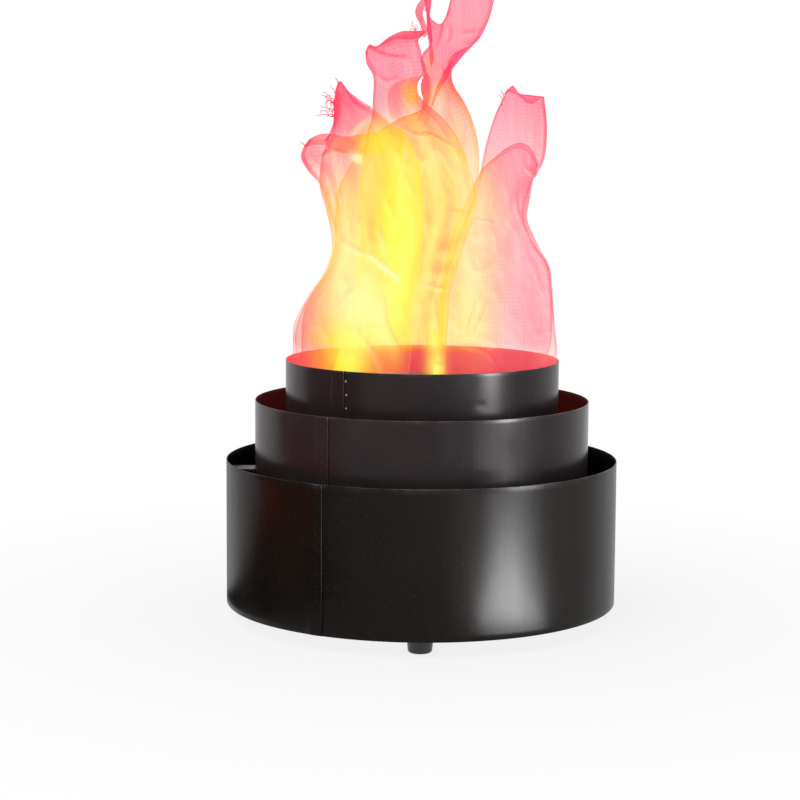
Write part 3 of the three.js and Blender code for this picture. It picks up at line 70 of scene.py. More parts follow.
# The tongues. hem: first and last angle. folds: count of its pleats. cover: share of light that one layer stops.
# core: how much of the extra cover in the middle it takes. warm_top: heights between which the lamp light dies
# away, lifted by warm_lean at the inner side. left, right, top: rails and the top edge between their ends, as
# shares of the flame's half width and height.
# turned: cloth turned back along the left, right and top edges (share of the edge, width in metres). creases: line in
# flame shares (x, z), reach to its left and right and height in millimetres, tone: painted light above 0 and painted
# shade below 0. patches of painted light and shade: place and reach in flame shares (x, z), then what they add to
# warmth, paleness, cover and depth. threads: root and tip in flame shares, curl radius in millimetres, turns
TONGUES = {
    "silk_left": {
        "hem": (172, 262), "radius": OUTER_HEM_RADIUS, "folds": 3.5,
        "cover": 0.38, "core": 0.4, "warm_top": (0.42, 0.6), "warm_lean": 0.12,
        "left": [
            (-0.99, 0.08, 0.12), (-0.98, 0.05, 0.173), (-0.93, 0.03, 0.206), (-0.85, 0, 0.244), (-0.74, -0.03, 0.288),
            (-0.69, -0.06, 0.338), (-0.7, -0.08, 0.382), (-0.74, -0.1, 0.432), (-0.78, -0.12, 0.479),
            (-0.77, -0.13, 0.525), (-0.72, -0.15, 0.575)],
        "right": [
            (-0.08, -0.86, 0.133), (-0.083, -0.78, 0.213), (-0.053, -0.7, 0.273), (-0.01, -0.62, 0.338),
            (-0.008, -0.5, 0.445), (-0.03, -0.44, 0.51), (-0.09, -0.39, 0.568), (-0.22, -0.34, 0.603),
            (-0.41, -0.29, 0.641)],
        "top": [
            (-0.67, -0.16, 0.625), (-0.67, -0.17, 0.663), (-0.63, -0.17, 0.699), (-0.57, -0.19, 0.68),
            (-0.5, -0.23, 0.66)],
        "turned": (
            [(0, 0.0012), (0.2, 0.0015), (0.36, 0.0055), (0.52, 0.0065), (0.66, 0.0035), (0.76, 0.009), (0.88, 0.004),
             (1, 0.003)],
            [(0, 0.0014), (0.6, 0.0016), (1, 0.003)],
            [(0, 0.003), (0.3, 0.004), (0.6, 0.0015), (1, 0.0012)]),
        "creases": [
            ([(-0.41, 0.336), (-0.273, 0.312), (-0.174, 0.288)], 1.5, 1.5, 0.5, 1.9),
            ([(-0.34, 0.316), (-0.255, 0.302), (-0.18, 0.288)], 2.4, 2, 0.3, 0.9),
            ([(-0.591, 0.359), (-0.492, 0.344), (-0.402, 0.331)], 2.2, 2.2, 1.2, 0.35),
            ([(-0.334, 0.39), (-0.303, 0.364), (-0.288, 0.336)], 2.6, 1.6, 1.2, 0.6),
            ([(-0.288, 0.25), (-0.255, 0.196), (-0.174, 0.151), (-0.129, 0.131)], 0.8, 7, 1.4, 0.45),
            ([(-0.788, 0.536), (-0.712, 0.553), (-0.667, 0.585), (-0.652, 0.628), (-0.636, 0.671)],
             1, 3.5, 1.6, -0.9),
            ([(-0.636, 0.222), (-0.542, 0.254), (-0.477, 0.272)], 2, 1, 0.8, -0.3),
            ([(-0.477, 0.177), (-0.333, 0.123), (-0.273, 0.082)], 2.4, 1.2, 1, 0.4),
            ([(-0.542, 0.586), (-0.47, 0.607), (-0.398, 0.622)], 2.2, 2.2, 1, 0.35),
            ([(-0.52, 0.543), (-0.49, 0.536), (-0.47, 0.531)], 3, 3.2, 0.3, 2.4),
            ([(-0.614, 0.695), (-0.53, 0.66), (-0.394, 0.634)], 0.8, 2, 0.8, -0.4)],
        "patches": [
            ((-0.58, 0.64), (0.17, 0.052), 0.04, 0, 0.26, 0.14), ((-0.46, 0.588), (0.14, 0.034), 0.3, 0, 0.24, -0.2),
            ((-0.9, 0.165), (0.1, 0.09), 0.15, 0, -0.22, -0.15), ((-0.68, 0.42), (0.08, 0.11), 0, 0, 0.14, 0)],
        "threads": [
            ((-0.652, -0.16, 0.62), (-0.765, -0.16, 0.655), 2.4, 1.5),
            ((-0.655, -0.16, 0.64), (-0.745, -0.17, 0.668), 2, 2.2),
            ((-0.66, -0.16, 0.632), (-0.72, -0.15, 0.672), 1.6, 1.6),
            ((-0.655, -0.16, 0.625), (-0.8, -0.16, 0.628), 1.1, 1.2),
            ((-0.65, -0.15, 0.622), (-0.79, -0.17, 0.64), 2, 2.6),
            ((-0.665, -0.16, 0.645), (-0.775, -0.15, 0.664), 2.6, 1.8),
            ((-0.645, -0.15, 0.655), (-0.7, -0.16, 0.69), 0.8, 1),
            ((-0.64, -0.17, 0.694), (-0.662, -0.18, 0.706), 0.5, 0.8),
            ((-0.665, -0.16, 0.65), (-0.745, -0.16, 0.646), 3, 2.4),
            ((-0.66, -0.17, 0.636), (-0.735, -0.15, 0.638), 2.2, 2.8),
            ((-0.67, -0.16, 0.655), (-0.76, -0.17, 0.672), 1.8, 3)],
    },
    "silk_front": {
        "hem": (222, 283), "radius": INNER_HEM_RADIUS, "folds": 3,
        "cover": 0.36, "core": 1, "warm_top": (0.52, 0.7), "warm_lean": 0,
        "left": [
            (-0.66, -0.6, 0.085), (-0.58, -0.52, 0.167), (-0.52, -0.43, 0.25), (-0.48, -0.37, 0.333),
            (-0.46, -0.32, 0.415), (-0.47, -0.29, 0.484), (-0.46, -0.26, 0.531), (-0.43, -0.21, 0.58),
            (-0.39, -0.21, 0.625), (-0.38, -0.21, 0.669), (-0.38, -0.21, 0.71), (-0.43, -0.21, 0.737),
            (-0.44, -0.21, 0.76)],
        "right": [
            (0.165, -0.87, 0.09), (0.178, -0.8, 0.155), (0.188, -0.73, 0.21), (0.198, -0.67, 0.259),
            (0.241, -0.62, 0.297), (0.285, -0.56, 0.345), (0.335, -0.51, 0.388), (0.385, -0.46, 0.431),
            (0.383, -0.42, 0.47), (0.345, -0.385, 0.51), (0.273, -0.345, 0.568), (0.159, -0.3, 0.617),
            (0.05, -0.28, 0.645), (-0.01, -0.26, 0.66), (-0.048, -0.24, 0.676), (-0.05, -0.23, 0.694),
            (-0.03, -0.22, 0.706), (0.006, -0.22, 0.716), (0.008, -0.21, 0.731), (-0.018, -0.2, 0.75),
            (-0.034, -0.19, 0.77), (-0.05, -0.18, 0.785), (-0.02, -0.17, 0.796), (0.014, -0.16, 0.806)],
        "top": [
            (-0.41, -0.21, 0.776), (-0.36, -0.2, 0.773), (-0.31, -0.19, 0.782), (-0.25, -0.19, 0.795),
            (-0.18, -0.18, 0.804), (-0.12, -0.17, 0.806)],
        "turned": (
            [(0, 0.0014), (0.6, 0.0016), (0.85, 0.003), (1, 0.004)],
            [(0, 0.0006), (0.5, 0.0008), (0.62, 0.002), (0.68, 0.018), (0.78, 0.03), (0.862, 0.031), (0.878, 0.003),
             (1, 0.002)],
            [(0, 0.004), (0.22, 0.0015), (0.45, 0.0035), (0.75, 0.0072), (0.9, 0.0076), (1, 0.005)]),
        "creases": [
            ([(-0.398, 0.769), (-0.273, 0.755), (-0.114, 0.751)], 0.7, 2.2, 1.6, -0.8),
            ([(-0.358, 0.712), (-0.273, 0.699), (-0.207, 0.705)], 2, 1.4, 1.2, -0.5),
            ([(-0.191, 0.606), (-0.079, 0.592), (0.048, 0.588), (0.216, 0.563)], 0.6, 1.6, 1.2, -0.6),
            ([(0.08, 0.34), (0.208, 0.354), (0.303, 0.376)], 6, 6, 1.8, -0.25),
            ([(0.045, 0.299), (0.136, 0.303), (0.227, 0.312)], 6, 4, 1.4, -0.2),
            ([(-0.015, 0.277), (0.174, 0.268), (0.224, 0.272)], 1.2, 1.2, 1, 0.35)],
        "patches": [
            ((-0.24, 0.735), (0.16, 0.06), -0.1, 0, 0.03, -0.2), ((-0.37, 0.772), (0.07, 0.026), 0, 0, 0.12, 0.4),
            ((-0.3, 0.785), (0.2, 0.016), 0, 0, 0.16, 0.45), ((-0.06, 0.797), (0.14, 0.014), 0.05, 0, 0.16, 0.4),
            ((-0.09, 0.662), (0.06, 0.022), 0.34, 0, 0.16, -0.4), ((-0.1, 0.69), (0.14, 0.024), 0.3, 0, 0.08, -0.4),
            ((-0.01, 0.55), (0.1, 0.045), 0, 0, 0.14, 0), ((-0.09, 0.622), (0.07, 0.028), 0.1, 0, -0.12, -0.2)],
        "threads": [
            ((-0.07, -0.17, 0.8), (-0.11, -0.17, 0.826), 1.6, 1.6),
            ((-0.09, -0.18, 0.801), (-0.06, -0.18, 0.818), 1.4, 2.2),
            ((-0.06, -0.17, 0.8), (-0.125, -0.16, 0.812), 1.8, 1.4),
            ((-0.05, -0.17, 0.8), (-0.035, -0.16, 0.812), 0.9, 1)],
    },
    "silk_right": {
        "hem": (268, 368), "radius": OUTER_HEM_RADIUS, "folds": 3.5,
        "cover": 0.34, "core": 0.3, "warm_top": (0.42, 0.62), "warm_lean": 0,
        "left": [
            (0.03, -0.93, 0.07), (0.08, -0.91, 0.1), (0.113, -0.86, 0.157), (0.126, -0.8, 0.211),
            (0.139, -0.75, 0.26), (0.18, -0.69, 0.305), (0.235, -0.62, 0.352), (0.3, -0.55, 0.4),
            (0.37, -0.47, 0.455), (0.415, -0.42, 0.51), (0.46, -0.38, 0.573), (0.53, -0.33, 0.636),
            (0.61, -0.29, 0.682)],
        "right": [
            (1.02, 0.08, 0.112), (1.008, 0.06, 0.162), (0.992, 0.04, 0.211), (0.98, 0.02, 0.266), (0.95, 0, 0.308),
            (0.86, -0.03, 0.345), (0.785, -0.06, 0.388), (0.76, -0.08, 0.415), (0.785, -0.09, 0.45),
            (0.82, -0.1, 0.495), (0.89, -0.12, 0.533), (0.91, -0.13, 0.605), (0.89, -0.15, 0.67)],
        "top": [(0.65, -0.27, 0.692), (0.7, -0.25, 0.677), (0.79, -0.21, 0.673)],
        "turned": (
            [(0, 0.0006), (0.6, 0.0007), (0.9, 0.0018), (1, 0.003)],
            [(0, 0.0012), (0.2, 0.002), (0.38, 0.0045), (0.52, 0.0025), (0.7, 0.0018), (1, 0.0012)],
            [(0, 0.004), (0.2, 0.005), (0.36, 0.0014), (0.46, 0.0022), (0.6, 0.0066), (0.72, 0.0072), (0.86, 0.0038),
             (0.95, 0.001), (1, 0.001)]),
        "creases": [
            ([(0.364, 0.413), (0.462, 0.409), (0.515, 0.404)], 0.9, 0.6, 0.8, -0.4),
            ([(0.383, 0.245), (0.333, 0.196), (0.318, 0.168)], 0.7, 1.6, 0.9, -0.45),
            ([(0.462, 0.241), (0.399, 0.196), (0.352, 0.172)], 0.7, 1.6, 0.9, -0.4),
            ([(0.303, 0.155), (0.462, 0.141), (0.542, 0.114)], 0.9, 1.3, 0.9, -0.4),
            ([(-0.038, 0.133), (0.129, 0.118), (0.174, 0.114)], 0.9, 1.2, 0.8, -0.5),
            ([(0.75, 0.517), (0.795, 0.508), (0.833, 0.499)], 3, 1, 1.4, -0.7),
            ([(0.682, 0.462), (0.703, 0.425), (0.75, 0.396), (0.81, 0.374)], 0.9, 2.2, 1, -0.7),
            ([(0.894, 0.66), (0.917, 0.553), (0.902, 0.531), (0.841, 0.499)], 1, 3, 0.8, -0.4),
            ([(0.568, 0.312), (0.614, 0.359), (0.682, 0.398)], 4, 4, 1.4, -0.25)],
        "patches": [
            ((0.36, 0.2), (0.18, 0.17), 0.1, 0.04, 0.2, 0), ((0.92, 0.125), (0.13, 0.035), 0, 0.25, 0.1, 0),
            ((0.9, 0.2), (0.15, 0.15), -0.08, 0, -0.1, -0.1), ((0.76, 0.45), (0.1, 0.08), 0, 0, 0.1, 0)],
        "threads": [
            ((0.575, -0.31, 0.65), (0.545, -0.32, 0.672), 1.2, 0.9),
            ((0.585, -0.3, 0.662), (0.56, -0.31, 0.684), 0.9, 1.3)],
    },
    "silk_tall": {
        "hem": (160, 78), "radius": OUTER_HEM_RADIUS, "folds": 3,
        "cover": 0.42, "core": 1, "warm_top": (0.53, 0.75), "warm_lean": 0,
        "left": [
            (-0.935, 0.34, 0.085), (-0.93, 0.38, 0.181), (-0.84, 0.39, 0.24), (-0.74, 0.38, 0.284),
            (-0.685, 0.37, 0.338), (-0.68, 0.35, 0.4), (-0.66, 0.32, 0.46), (-0.56, 0.28, 0.52), (-0.38, 0.22, 0.585),
            (-0.18, 0.16, 0.622), (-0.02, 0.12, 0.642), (0.032, 0.1, 0.664), (0.036, 0.08, 0.698),
            (0.022, 0.08, 0.714), (-0.012, 0.08, 0.727), (-0.03, 0.075, 0.744), (-0.012, 0.07, 0.762),
            (0.027, 0.065, 0.775), (0.04, 0.06, 0.789), (0.024, 0.06, 0.808), (0.018, 0.06, 0.83),
            (0.006, 0.07, 0.855), (-0.008, 0.08, 0.88), (0.015, 0.09, 0.944)],
        "right": [
            (0.17, 0.93, 0.085), (0.17, 0.86, 0.167), (0.19, 0.77, 0.255), (0.24, 0.67, 0.313), (0.3, 0.58, 0.368),
            (0.36, 0.46, 0.41), (0.39, 0.37, 0.448), (0.42, 0.25, 0.503), (0.41, 0.14, 0.569), (0.365, 0.12, 0.618),
            (0.305, 0.09, 0.656), (0.235, 0.07, 0.687), (0.205, 0.06, 0.708), (0.212, 0.055, 0.735),
            (0.228, 0.055, 0.756), (0.29, 0.06, 0.771), (0.385, 0.08, 0.783), (0.437, 0.09, 0.806),
            (0.485, 0.1, 0.838), (0.51, 0.1, 0.866), (0.53, 0.11, 0.911), (0.48, 0.12, 0.966), (0.42, 0.12, 0.999)],
        "top": [
            (0.05, 0.09, 0.9), (0.012, 0.08, 0.868), (0.008, 0.08, 0.853), (0.05, 0.08, 0.834), (0.112, 0.08, 0.823),
            (0.139, 0.08, 0.832), (0.17, 0.09, 0.856), (0.215, 0.1, 0.9), (0.33, 0.11, 0.966)],
        "turned": (
            [(0, 0.0014), (0.5, 0.0022), (0.8, 0.0016), (1, 0.001)],
            [(0, 0.0014), (0.5, 0.0018), (0.72, 0.0014), (0.78, 0.004), (0.86, 0.002), (1, 0.001)],
            [(0, 0.001), (0.4, 0.001), (1, 0.0012)]),
        "creases": [
            ([(0.174, 0.418), (0.303, 0.415), (0.424, 0.411)], 1.2, 0.7, 1, -0.6),
            ([(0.171, 0.824), (0.189, 0.81), (0.189, 0.794), (0.167, 0.781)], 2.5, 0.7, 1, -0.5),
            ([(0.268, 0.801), (0.364, 0.807), (0.413, 0.807)], 1.8, 0.8, 1.2, -0.5),
            ([(0.311, 0.779), (0.371, 0.785), (0.409, 0.794)], 1.5, 1.5, 1.2, -0.5),
            ([(0.189, 0.875), (0.159, 0.843), (0.133, 0.828), (0.114, 0.8), (0.083, 0.772)], 2.6, 0.7, 1.4, -0.6),
            ([(0.216, 0.699), (0.288, 0.65), (0.318, 0.604), (0.311, 0.536), (0.352, 0.468)], 0.6, 9, 1, -0.22),
            ([(0.061, 0.643), (0.159, 0.617), (0.273, 0.568)], 5, 0.8, 0.8, -0.3),
            ([(0.121, 0.733), (0.144, 0.725), (0.136, 0.712)], 1, 1, 0.6, -0.6),
            ([(0.212, 0.875), (0.227, 0.94), (0.197, 0.987)], 2, 2, 1, -0.4)],
        "patches": [
            ((0.03, 0.74), (0.07, 0.03), 0.3, 0, 0, -0.2), ((0.12, 0.68), (0.1, 0.03), 0.22, 0, 0, -0.2),
            ((0.1, 0.64), (0.05, 0.04), 0.05, 0.15, -0.25, -0.2), ((0.33, 0.85), (0.17, 0.1), 0, 0, -0.08, -0.28),
            ((0.26, 0.62), (0.06, 0.07), 0.1, 0, 0, -0.15), ((0.36, 0.574), (0.08, 0.05), -0.08, 0, 0.1, 0.05)],
        "threads": [],
    },
    "silk_back_right": {
        "hem": (84, -8), "radius": INNER_HEM_RADIUS, "folds": 3.5,
        "cover": 0.34, "core": 0.3, "warm_top": (0.44, 0.66), "warm_lean": 0,
        "left": [
            (0.11, 0.88, 0.085), (0.13, 0.77, 0.181), (0.16, 0.65, 0.264), (0.21, 0.52, 0.346), (0.29, 0.38, 0.415),
            (0.38, 0.25, 0.476), (0.44, 0.13, 0.514)],
        "right": [
            (0.95, -0.1, 0.1), (0.982, -0.06, 0.153), (0.98, -0.02, 0.209), (0.97, 0.02, 0.262), (0.94, 0.06, 0.308),
            (0.855, 0.09, 0.345), (0.785, 0.1, 0.385), (0.765, 0.12, 0.42), (0.815, 0.12, 0.48), (0.87, 0.12, 0.525)],
        "top": [(0.54, 0.12, 0.541), (0.63, 0.11, 0.56), (0.73, 0.11, 0.571), (0.81, 0.11, 0.56)],
        "turned": (
            [(0, 0.0014), (0.6, 0.002), (1, 0.002)],
            [(0, 0.0012), (0.5, 0.002), (1, 0.002)],
            [(0, 0.0015), (0.4, 0.003), (0.7, 0.0042), (1, 0.004)]),
        "creases": [([(0.591, 0.381), (0.682, 0.445), (0.742, 0.488)], 3, 3, 1.4, -0.4)],
        "patches": [((0.8, 0.55), (0.2, 0.04), 0, 0, -0.12, -0.45)],
        "threads": [],
    },
    "silk_back_left": {
        "hem": (188, 118), "radius": INNER_HEM_RADIUS, "folds": 3,
        "cover": 0.32, "core": 0.4, "warm_top": (0.46, 0.64), "warm_lean": 0.12,
        "left": [
            (-0.95, -0.1, 0.1), (-0.965, -0.07, 0.153), (-0.915, -0.04, 0.206), (-0.83, 0, 0.248),
            (-0.725, 0.03, 0.292), (-0.675, 0.05, 0.34), (-0.685, 0.07, 0.388), (-0.73, 0.08, 0.436),
            (-0.79, 0.08, 0.479), (-0.88, 0.08, 0.509), (-0.93, 0.08, 0.536), (-0.91, 0.08, 0.558),
            (-0.87, 0.08, 0.575)],
        "right": [
            (-0.42, 0.78, 0.085), (-0.37, 0.67, 0.181), (-0.33, 0.56, 0.264), (-0.28, 0.46, 0.346),
            (-0.24, 0.37, 0.415), (-0.2, 0.29, 0.484), (-0.17, 0.21, 0.54), (-0.15, 0.15, 0.6)],
        "top": [
            (-0.79, 0.09, 0.586), (-0.69, 0.1, 0.586), (-0.6, 0.12, 0.582), (-0.45, 0.13, 0.587),
            (-0.3, 0.14, 0.596)],
        "turned": (
            [(0, 0.0012), (0.5, 0.003), (0.8, 0.003), (1, 0.004)],
            [(0, 0.0014), (1, 0.002)],
            [(0, 0.008), (0.25, 0.01), (0.45, 0.0145), (0.7, 0.0175), (1, 0.019)]),
        "creases": [([(-0.788, 0.536), (-0.697, 0.548), (-0.583, 0.546)], 3, 0.8, 1.2, -0.6)],
        "patches": [
            ((-0.5, 0.572), (0.22, 0.036), 0.42, 0, 0.34, -0.3), ((-0.88, 0.535), (0.12, 0.05), -0.05, 0, 0.3, 0.3)],
        "threads": [((-0.9, 0.08, 0.56), (-0.93, 0.08, 0.57), 0.5, 0.8)],
    },
}


def flame_point(share):
    return (share[0] * FLAME_HALF_WIDTH, share[1] * FLAME_HALF_WIDTH, HEM_LEVEL + share[2] * FLAME_HEIGHT)


class SmoothLine:
    """A smooth line through all its points, read by its share of arc length."""

    def __init__(self, points, steps=48):
        points = np.array(points, float)
        ends = np.vstack([2 * points[0] - points[1], points, 2 * points[-1] - points[-2]])
        rows = []
        for first, start, stop, last in zip(ends, ends[1:], ends[2:], ends[3:]):
            before = max(np.linalg.norm(start - first) ** 0.5, 1e-6)
            span = max(np.linalg.norm(stop - start) ** 0.5, 1e-6)
            after = max(np.linalg.norm(last - stop) ** 0.5, 1e-6)
            leave = ((start - first) / before - (stop - first) / (before + span) + (stop - start) / span) * span
            reach = ((stop - start) / span - (last - start) / (span + after) + (last - stop) / after) * span
            t = np.linspace(0, 1, steps, endpoint=False)[:, None]
            rows.append(start + leave * t + (3 * (stop - start) - 2 * leave - reach) * t ** 2
                        + (2 * (start - stop) + leave + reach) * t ** 3)
        self.line = np.vstack(rows + [points[-1:]])
        lengths = np.concatenate([[0], np.cumsum(np.linalg.norm(np.diff(self.line, axis=0), axis=1))])
        self.length = lengths[-1]
        self.shares = lengths / self.length

    def at(self, share):
        share = np.asarray(share, float)
        return np.stack([np.interp(share, self.shares, self.line[:, axis]) for axis in range(3)], axis=-1)


def polar(radius, angle, height):
    turn = np.radians(angle)
    return np.stack(np.broadcast_arrays(radius * np.cos(turn), radius * np.sin(turn), height), axis=-1)


def smooth_step(low, high, value):
    share = np.clip((value - low) / (high - low), 0, 1)
    return share * share * (3 - 2 * share)


def soft_noise(u, v, seed):
    """Smooth random height from -1 to 1 on a lattice of whole numbers, the same on every run."""
    lattice = np.random.RandomState(seed).uniform(-1, 1, (64, 64))
    column, row = np.floor(u).astype(int), np.floor(v).astype(int)
    x, y = u - column, v - row
    x, y = x * x * (3 - 2 * x), y * y * (3 - 2 * y)
    corner = [[lattice[(row + j) % 64, (column + i) % 64] for i in (0, 1)] for j in (0, 1)]
    low = corner[0][0] + (corner[0][1] - corner[0][0]) * x
    high = corner[1][0] + (corner[1][1] - corner[1][0]) * x
    return low + (high - low) * y


def ridge_noise(u, v, seed):
    """Sharp-crested folds: 1 on a crest, falling away smoothly to both sides."""
    return (1 - np.abs(soft_noise(u, v, seed))) ** 3


# Patches of lamp light on the silk: place and reach in flame shares (x, z), then strength, paleness and extra
# cover at the middle
LIGHT_PATCHES = [
    ((-0.18, 0.36), (0.16, 0.16), 0.95, 0.00, 0.22),
    ((-0.20, 0.24), (0.09, 0.13), 0.85, 0.00, 0.22),
    ((-0.10, 0.50), (0.10, 0.08), 0.15, 0.00, 0.04),
    ((-0.46, 0.22), (0.20, 0.09), 0.95, 0.60, 0.00),
    ((-0.50, 0.30), (0.14, 0.07), 0.50, 0.15, 0.00),
    ((-0.56, 0.11), (0.22, 0.05), 1.00, 0.00, 0.40),
    ((0.095, 0.11), (0.08, 0.045), 1.00, 0.35, 0.55),
    ((0.10, 0.19), (0.07, 0.10), 0.15, 0.00, 0.00),
    ((0.11, 0.46), (0.06, 0.04), 0.15, 0.00, 0.04),
]


def crease_profile(point, line, left, right):
    """1 along a smooth line over the cloth, dying away over its own reach to each side and at its ends."""
    line = SmoothLine([flame_point((x, 0, z)) for x, z in line])
    knots = line.at(np.linspace(0, 1, CREASE_KNOTS))[:, [0, 2]]
    place = point[..., [0, 2]]
    nearest = np.full(place.shape[:-1], 1e9)
    share = np.zeros_like(nearest)
    side = np.zeros_like(nearest)
    for number, (a, b) in enumerate(zip(knots, knots[1:])):
        run = np.clip(((place - a) @ (b - a)) / np.dot(b - a, b - a), 0, 1)
        away = place - a - run[..., None] * (b - a)
        gap = np.linalg.norm(away, axis=-1)
        closer = gap < nearest
        nearest = np.where(closer, gap, nearest)
        share = np.where(closer, (number + run) / (len(knots) - 1), share)
        side = np.where(closer, (b - a)[0] * away[..., 1] - (b - a)[1] * away[..., 0], side)
    reach = np.where(side > 0, left, right)
    ends = np.sin(np.pi * np.clip(share * 0.9 + 0.05, 0, 1)) ** 0.6
    return np.exp(-(nearest / reach) ** 2) * ends


class TongueSurface:
    """The blown-up form of one tongue, read at shares across and up, with its pleats and creases."""

    def __init__(self, name, sizes):
        self.sizes = sizes
        self.table = TONGUES[name]
        self.seed = sorted(TONGUES).index(name) * 17 + 5
        rails = []
        for across, side in enumerate(("left", "right")):
            hem = self.hem_point(np.array(across))
            clamp = hem + np.array([0, 0, HOLD_HEIGHT])
            rails.append(SmoothLine([hem, clamp] + [flame_point(share) for share in self.table[side]]))
        self.left, self.right = rails
        top = [self.table["left"][-1], *self.table["top"], self.table["right"][-1]]
        self.top = SmoothLine([flame_point(share) for share in top])

    def hem_point(self, across):
        start, stop = self.table["hem"]
        return polar(self.table["radius"], start + (stop - start) * across, HEM_LEVEL)

    def plain(self, across, up):
        across, up = np.broadcast_arrays(across, up)
        share = across[..., None]
        rise = up[..., None]
        point = self.left.at(up) * (1 - share) + self.right.at(up) * share
        hem_ends = self.hem_point(np.array([0.0, 1.0]))
        hem_pull = self.hem_point(across) - (hem_ends[0] * (1 - share) + hem_ends[1] * share)
        top_ends = self.top.at([0.0, 1.0])
        top_pull = self.top.at(across) - (top_ends[0] * (1 - share) + top_ends[1] * share)
        held = HOLD_HEIGHT / FLAME_HEIGHT
        free = np.maximum(0, rise - held) / (1 - held)
        point = point + hem_pull * (1 - free ** 1.2) + top_pull * rise ** 2
        if self.table["radius"] == OUTER_HEM_RADIUS:
            outward = polar(1, sum(self.table["hem"]) / 2, 0)
            point = point + outward * BILLOW * np.sin(np.pi * free) * np.sin(np.pi * share)
        return point

    def normal(self, across, up, step=0.004):
        sideways = self.plain(np.minimum(1, across + step), up) - self.plain(np.maximum(0, across - step), up)
        upwards = self.plain(across, np.minimum(1, up + step)) - self.plain(across, np.maximum(0, up - step))
        normal = np.cross(sideways, upwards)
        return normal / np.maximum(np.linalg.norm(normal, axis=-1, keepdims=True), 1e-12)

    def relief(self, across, up, point, narrow):
        """Height over the plain surface, and the tone of painted light and shade that the listed creases give the
        cloth.
        """
        drift = 0.35 * np.sin(2 * np.pi * up)
        pleat = np.cos(2 * np.pi * (self.table["folds"] * across + drift))
        height = FOLD_DEPTH * up ** 1.2 * (1 - 0.5 * up) * np.sin(np.pi * across) * pleat * narrow
        loose = smooth_step(0.04, 0.22, up)
        lean = across * 6 + 1.4 * soft_noise(across * 2, up * 3, self.seed)
        height = height + self.sizes.drape_depth * loose * soft_noise(lean, up * 2.6 + 7, self.seed + 1)
        wrinkle = ridge_noise(across * 5 + up * 4, up * 7 - across * 3, self.seed + 2) - 0.4
        height = height + self.sizes.wrinkle_depth * loose * wrinkle
        height = height + self.sizes.crumple_depth * loose * soft_noise(across * 26, up * 34, self.seed + 3)
        height = height * narrow * (0.3 + 0.7 * smooth_step(0, 0.12, across) * smooth_step(0, 0.12, 1 - across))
        tone = np.zeros_like(height)
        for line, left, right, depth, shade in self.table["creases"]:
            profile = crease_profile(point, line, left / 1000, right / 1000)
            height = height + depth / 1000 * profile
            tone = tone + shade * profile
        return height, tone


def silk_grid(surface):
    """Points, texture places, folding values and painted crease shading of a tongue, its edges turned back as narrow
    hems.
    """
    sizes = surface.sizes
    left_turn, right_turn, top_turn = surface.table["turned"]
    inside = np.linspace(0, 1, TURN_CELLS + 1)[1:]
    line = np.concatenate([np.linspace(0, 1, sizes.rows + 1), np.ones(TURN_CELLS)])
    top_back = np.concatenate([np.zeros(sizes.rows + 1), inside])[:, None]
    chord = np.linalg.norm(surface.plain(1.0, line) - surface.plain(0.0, line), axis=-1)
    chord = np.maximum(chord, LEAST_CHORD)
    bunched = np.clip(1 - chord / np.linalg.norm(surface.left.line[0] - surface.right.line[0]), 0, 1)
    narrow = (1 - 0.8 * smooth_step(0.2, 0.8, bunched))[:, None]
    left, right = (np.minimum((np.interp(line, *zip(*knots)) / chord)[:, None] * cells, WIDEST_TURN)
                   for knots, cells in ((left_turn, inside[::-1]), (right_turn, inside)))
    middle = np.tile(np.linspace(0, 1, sizes.columns + 1), (len(line), 1))
    across = np.hstack([left, middle, 1 - right])
    back = np.hstack([np.tile(inside[::-1], (len(line), 1)), np.zeros_like(middle), np.tile(inside, (len(line), 1))])
    folded = np.maximum(0.2 * back, top_back)
    back = np.maximum(back, top_back)
    up = line[:, None] - top_back * np.interp(across, *zip(*top_turn)) / surface.left.length
    point = surface.plain(across, up)
    normal = surface.normal(across, up)
    outward = np.sign(np.sum(normal * point * [1, 1, 0], axis=-1).mean())
    height, tone = surface.relief(across, up, point, narrow)
    behind = sizes.hem_gap * smooth_step(0, 0.35, back) * smooth_step(0, 0.06, up)
    point = point + normal * height[..., None]
    point = point - normal * outward * behind[..., None]
    width = np.linalg.norm(np.diff(point, axis=1), axis=-1).mean(axis=0)
    length = np.linalg.norm(np.diff(point, axis=0), axis=-1).mean(axis=1)
    u, v = (np.concatenate([[0], np.cumsum(steps)]) for steps in (width, length))
    place = np.stack(np.broadcast_arrays(u, v[:, None]), axis=-1)
    return point, place, (height, tone, back, folded, np.tile(bunched[:, None], (1, across.shape[1])))


def slope(height, point, axis):
    """How steeply the relief climbs along one way of the grid."""
    step = np.linalg.norm(np.gradient(point, axis=axis), axis=-1)
    return np.gradient(height, axis=axis) / np.maximum(step, 0.0003)


def patch(x, z, middle, reach):
    """1 at the middle of a soft oval on the silk, dying away over its reach."""
    return np.exp(-((x - middle[0]) / reach[0]) ** 2 - ((z - middle[1]) / reach[1]) ** 2)


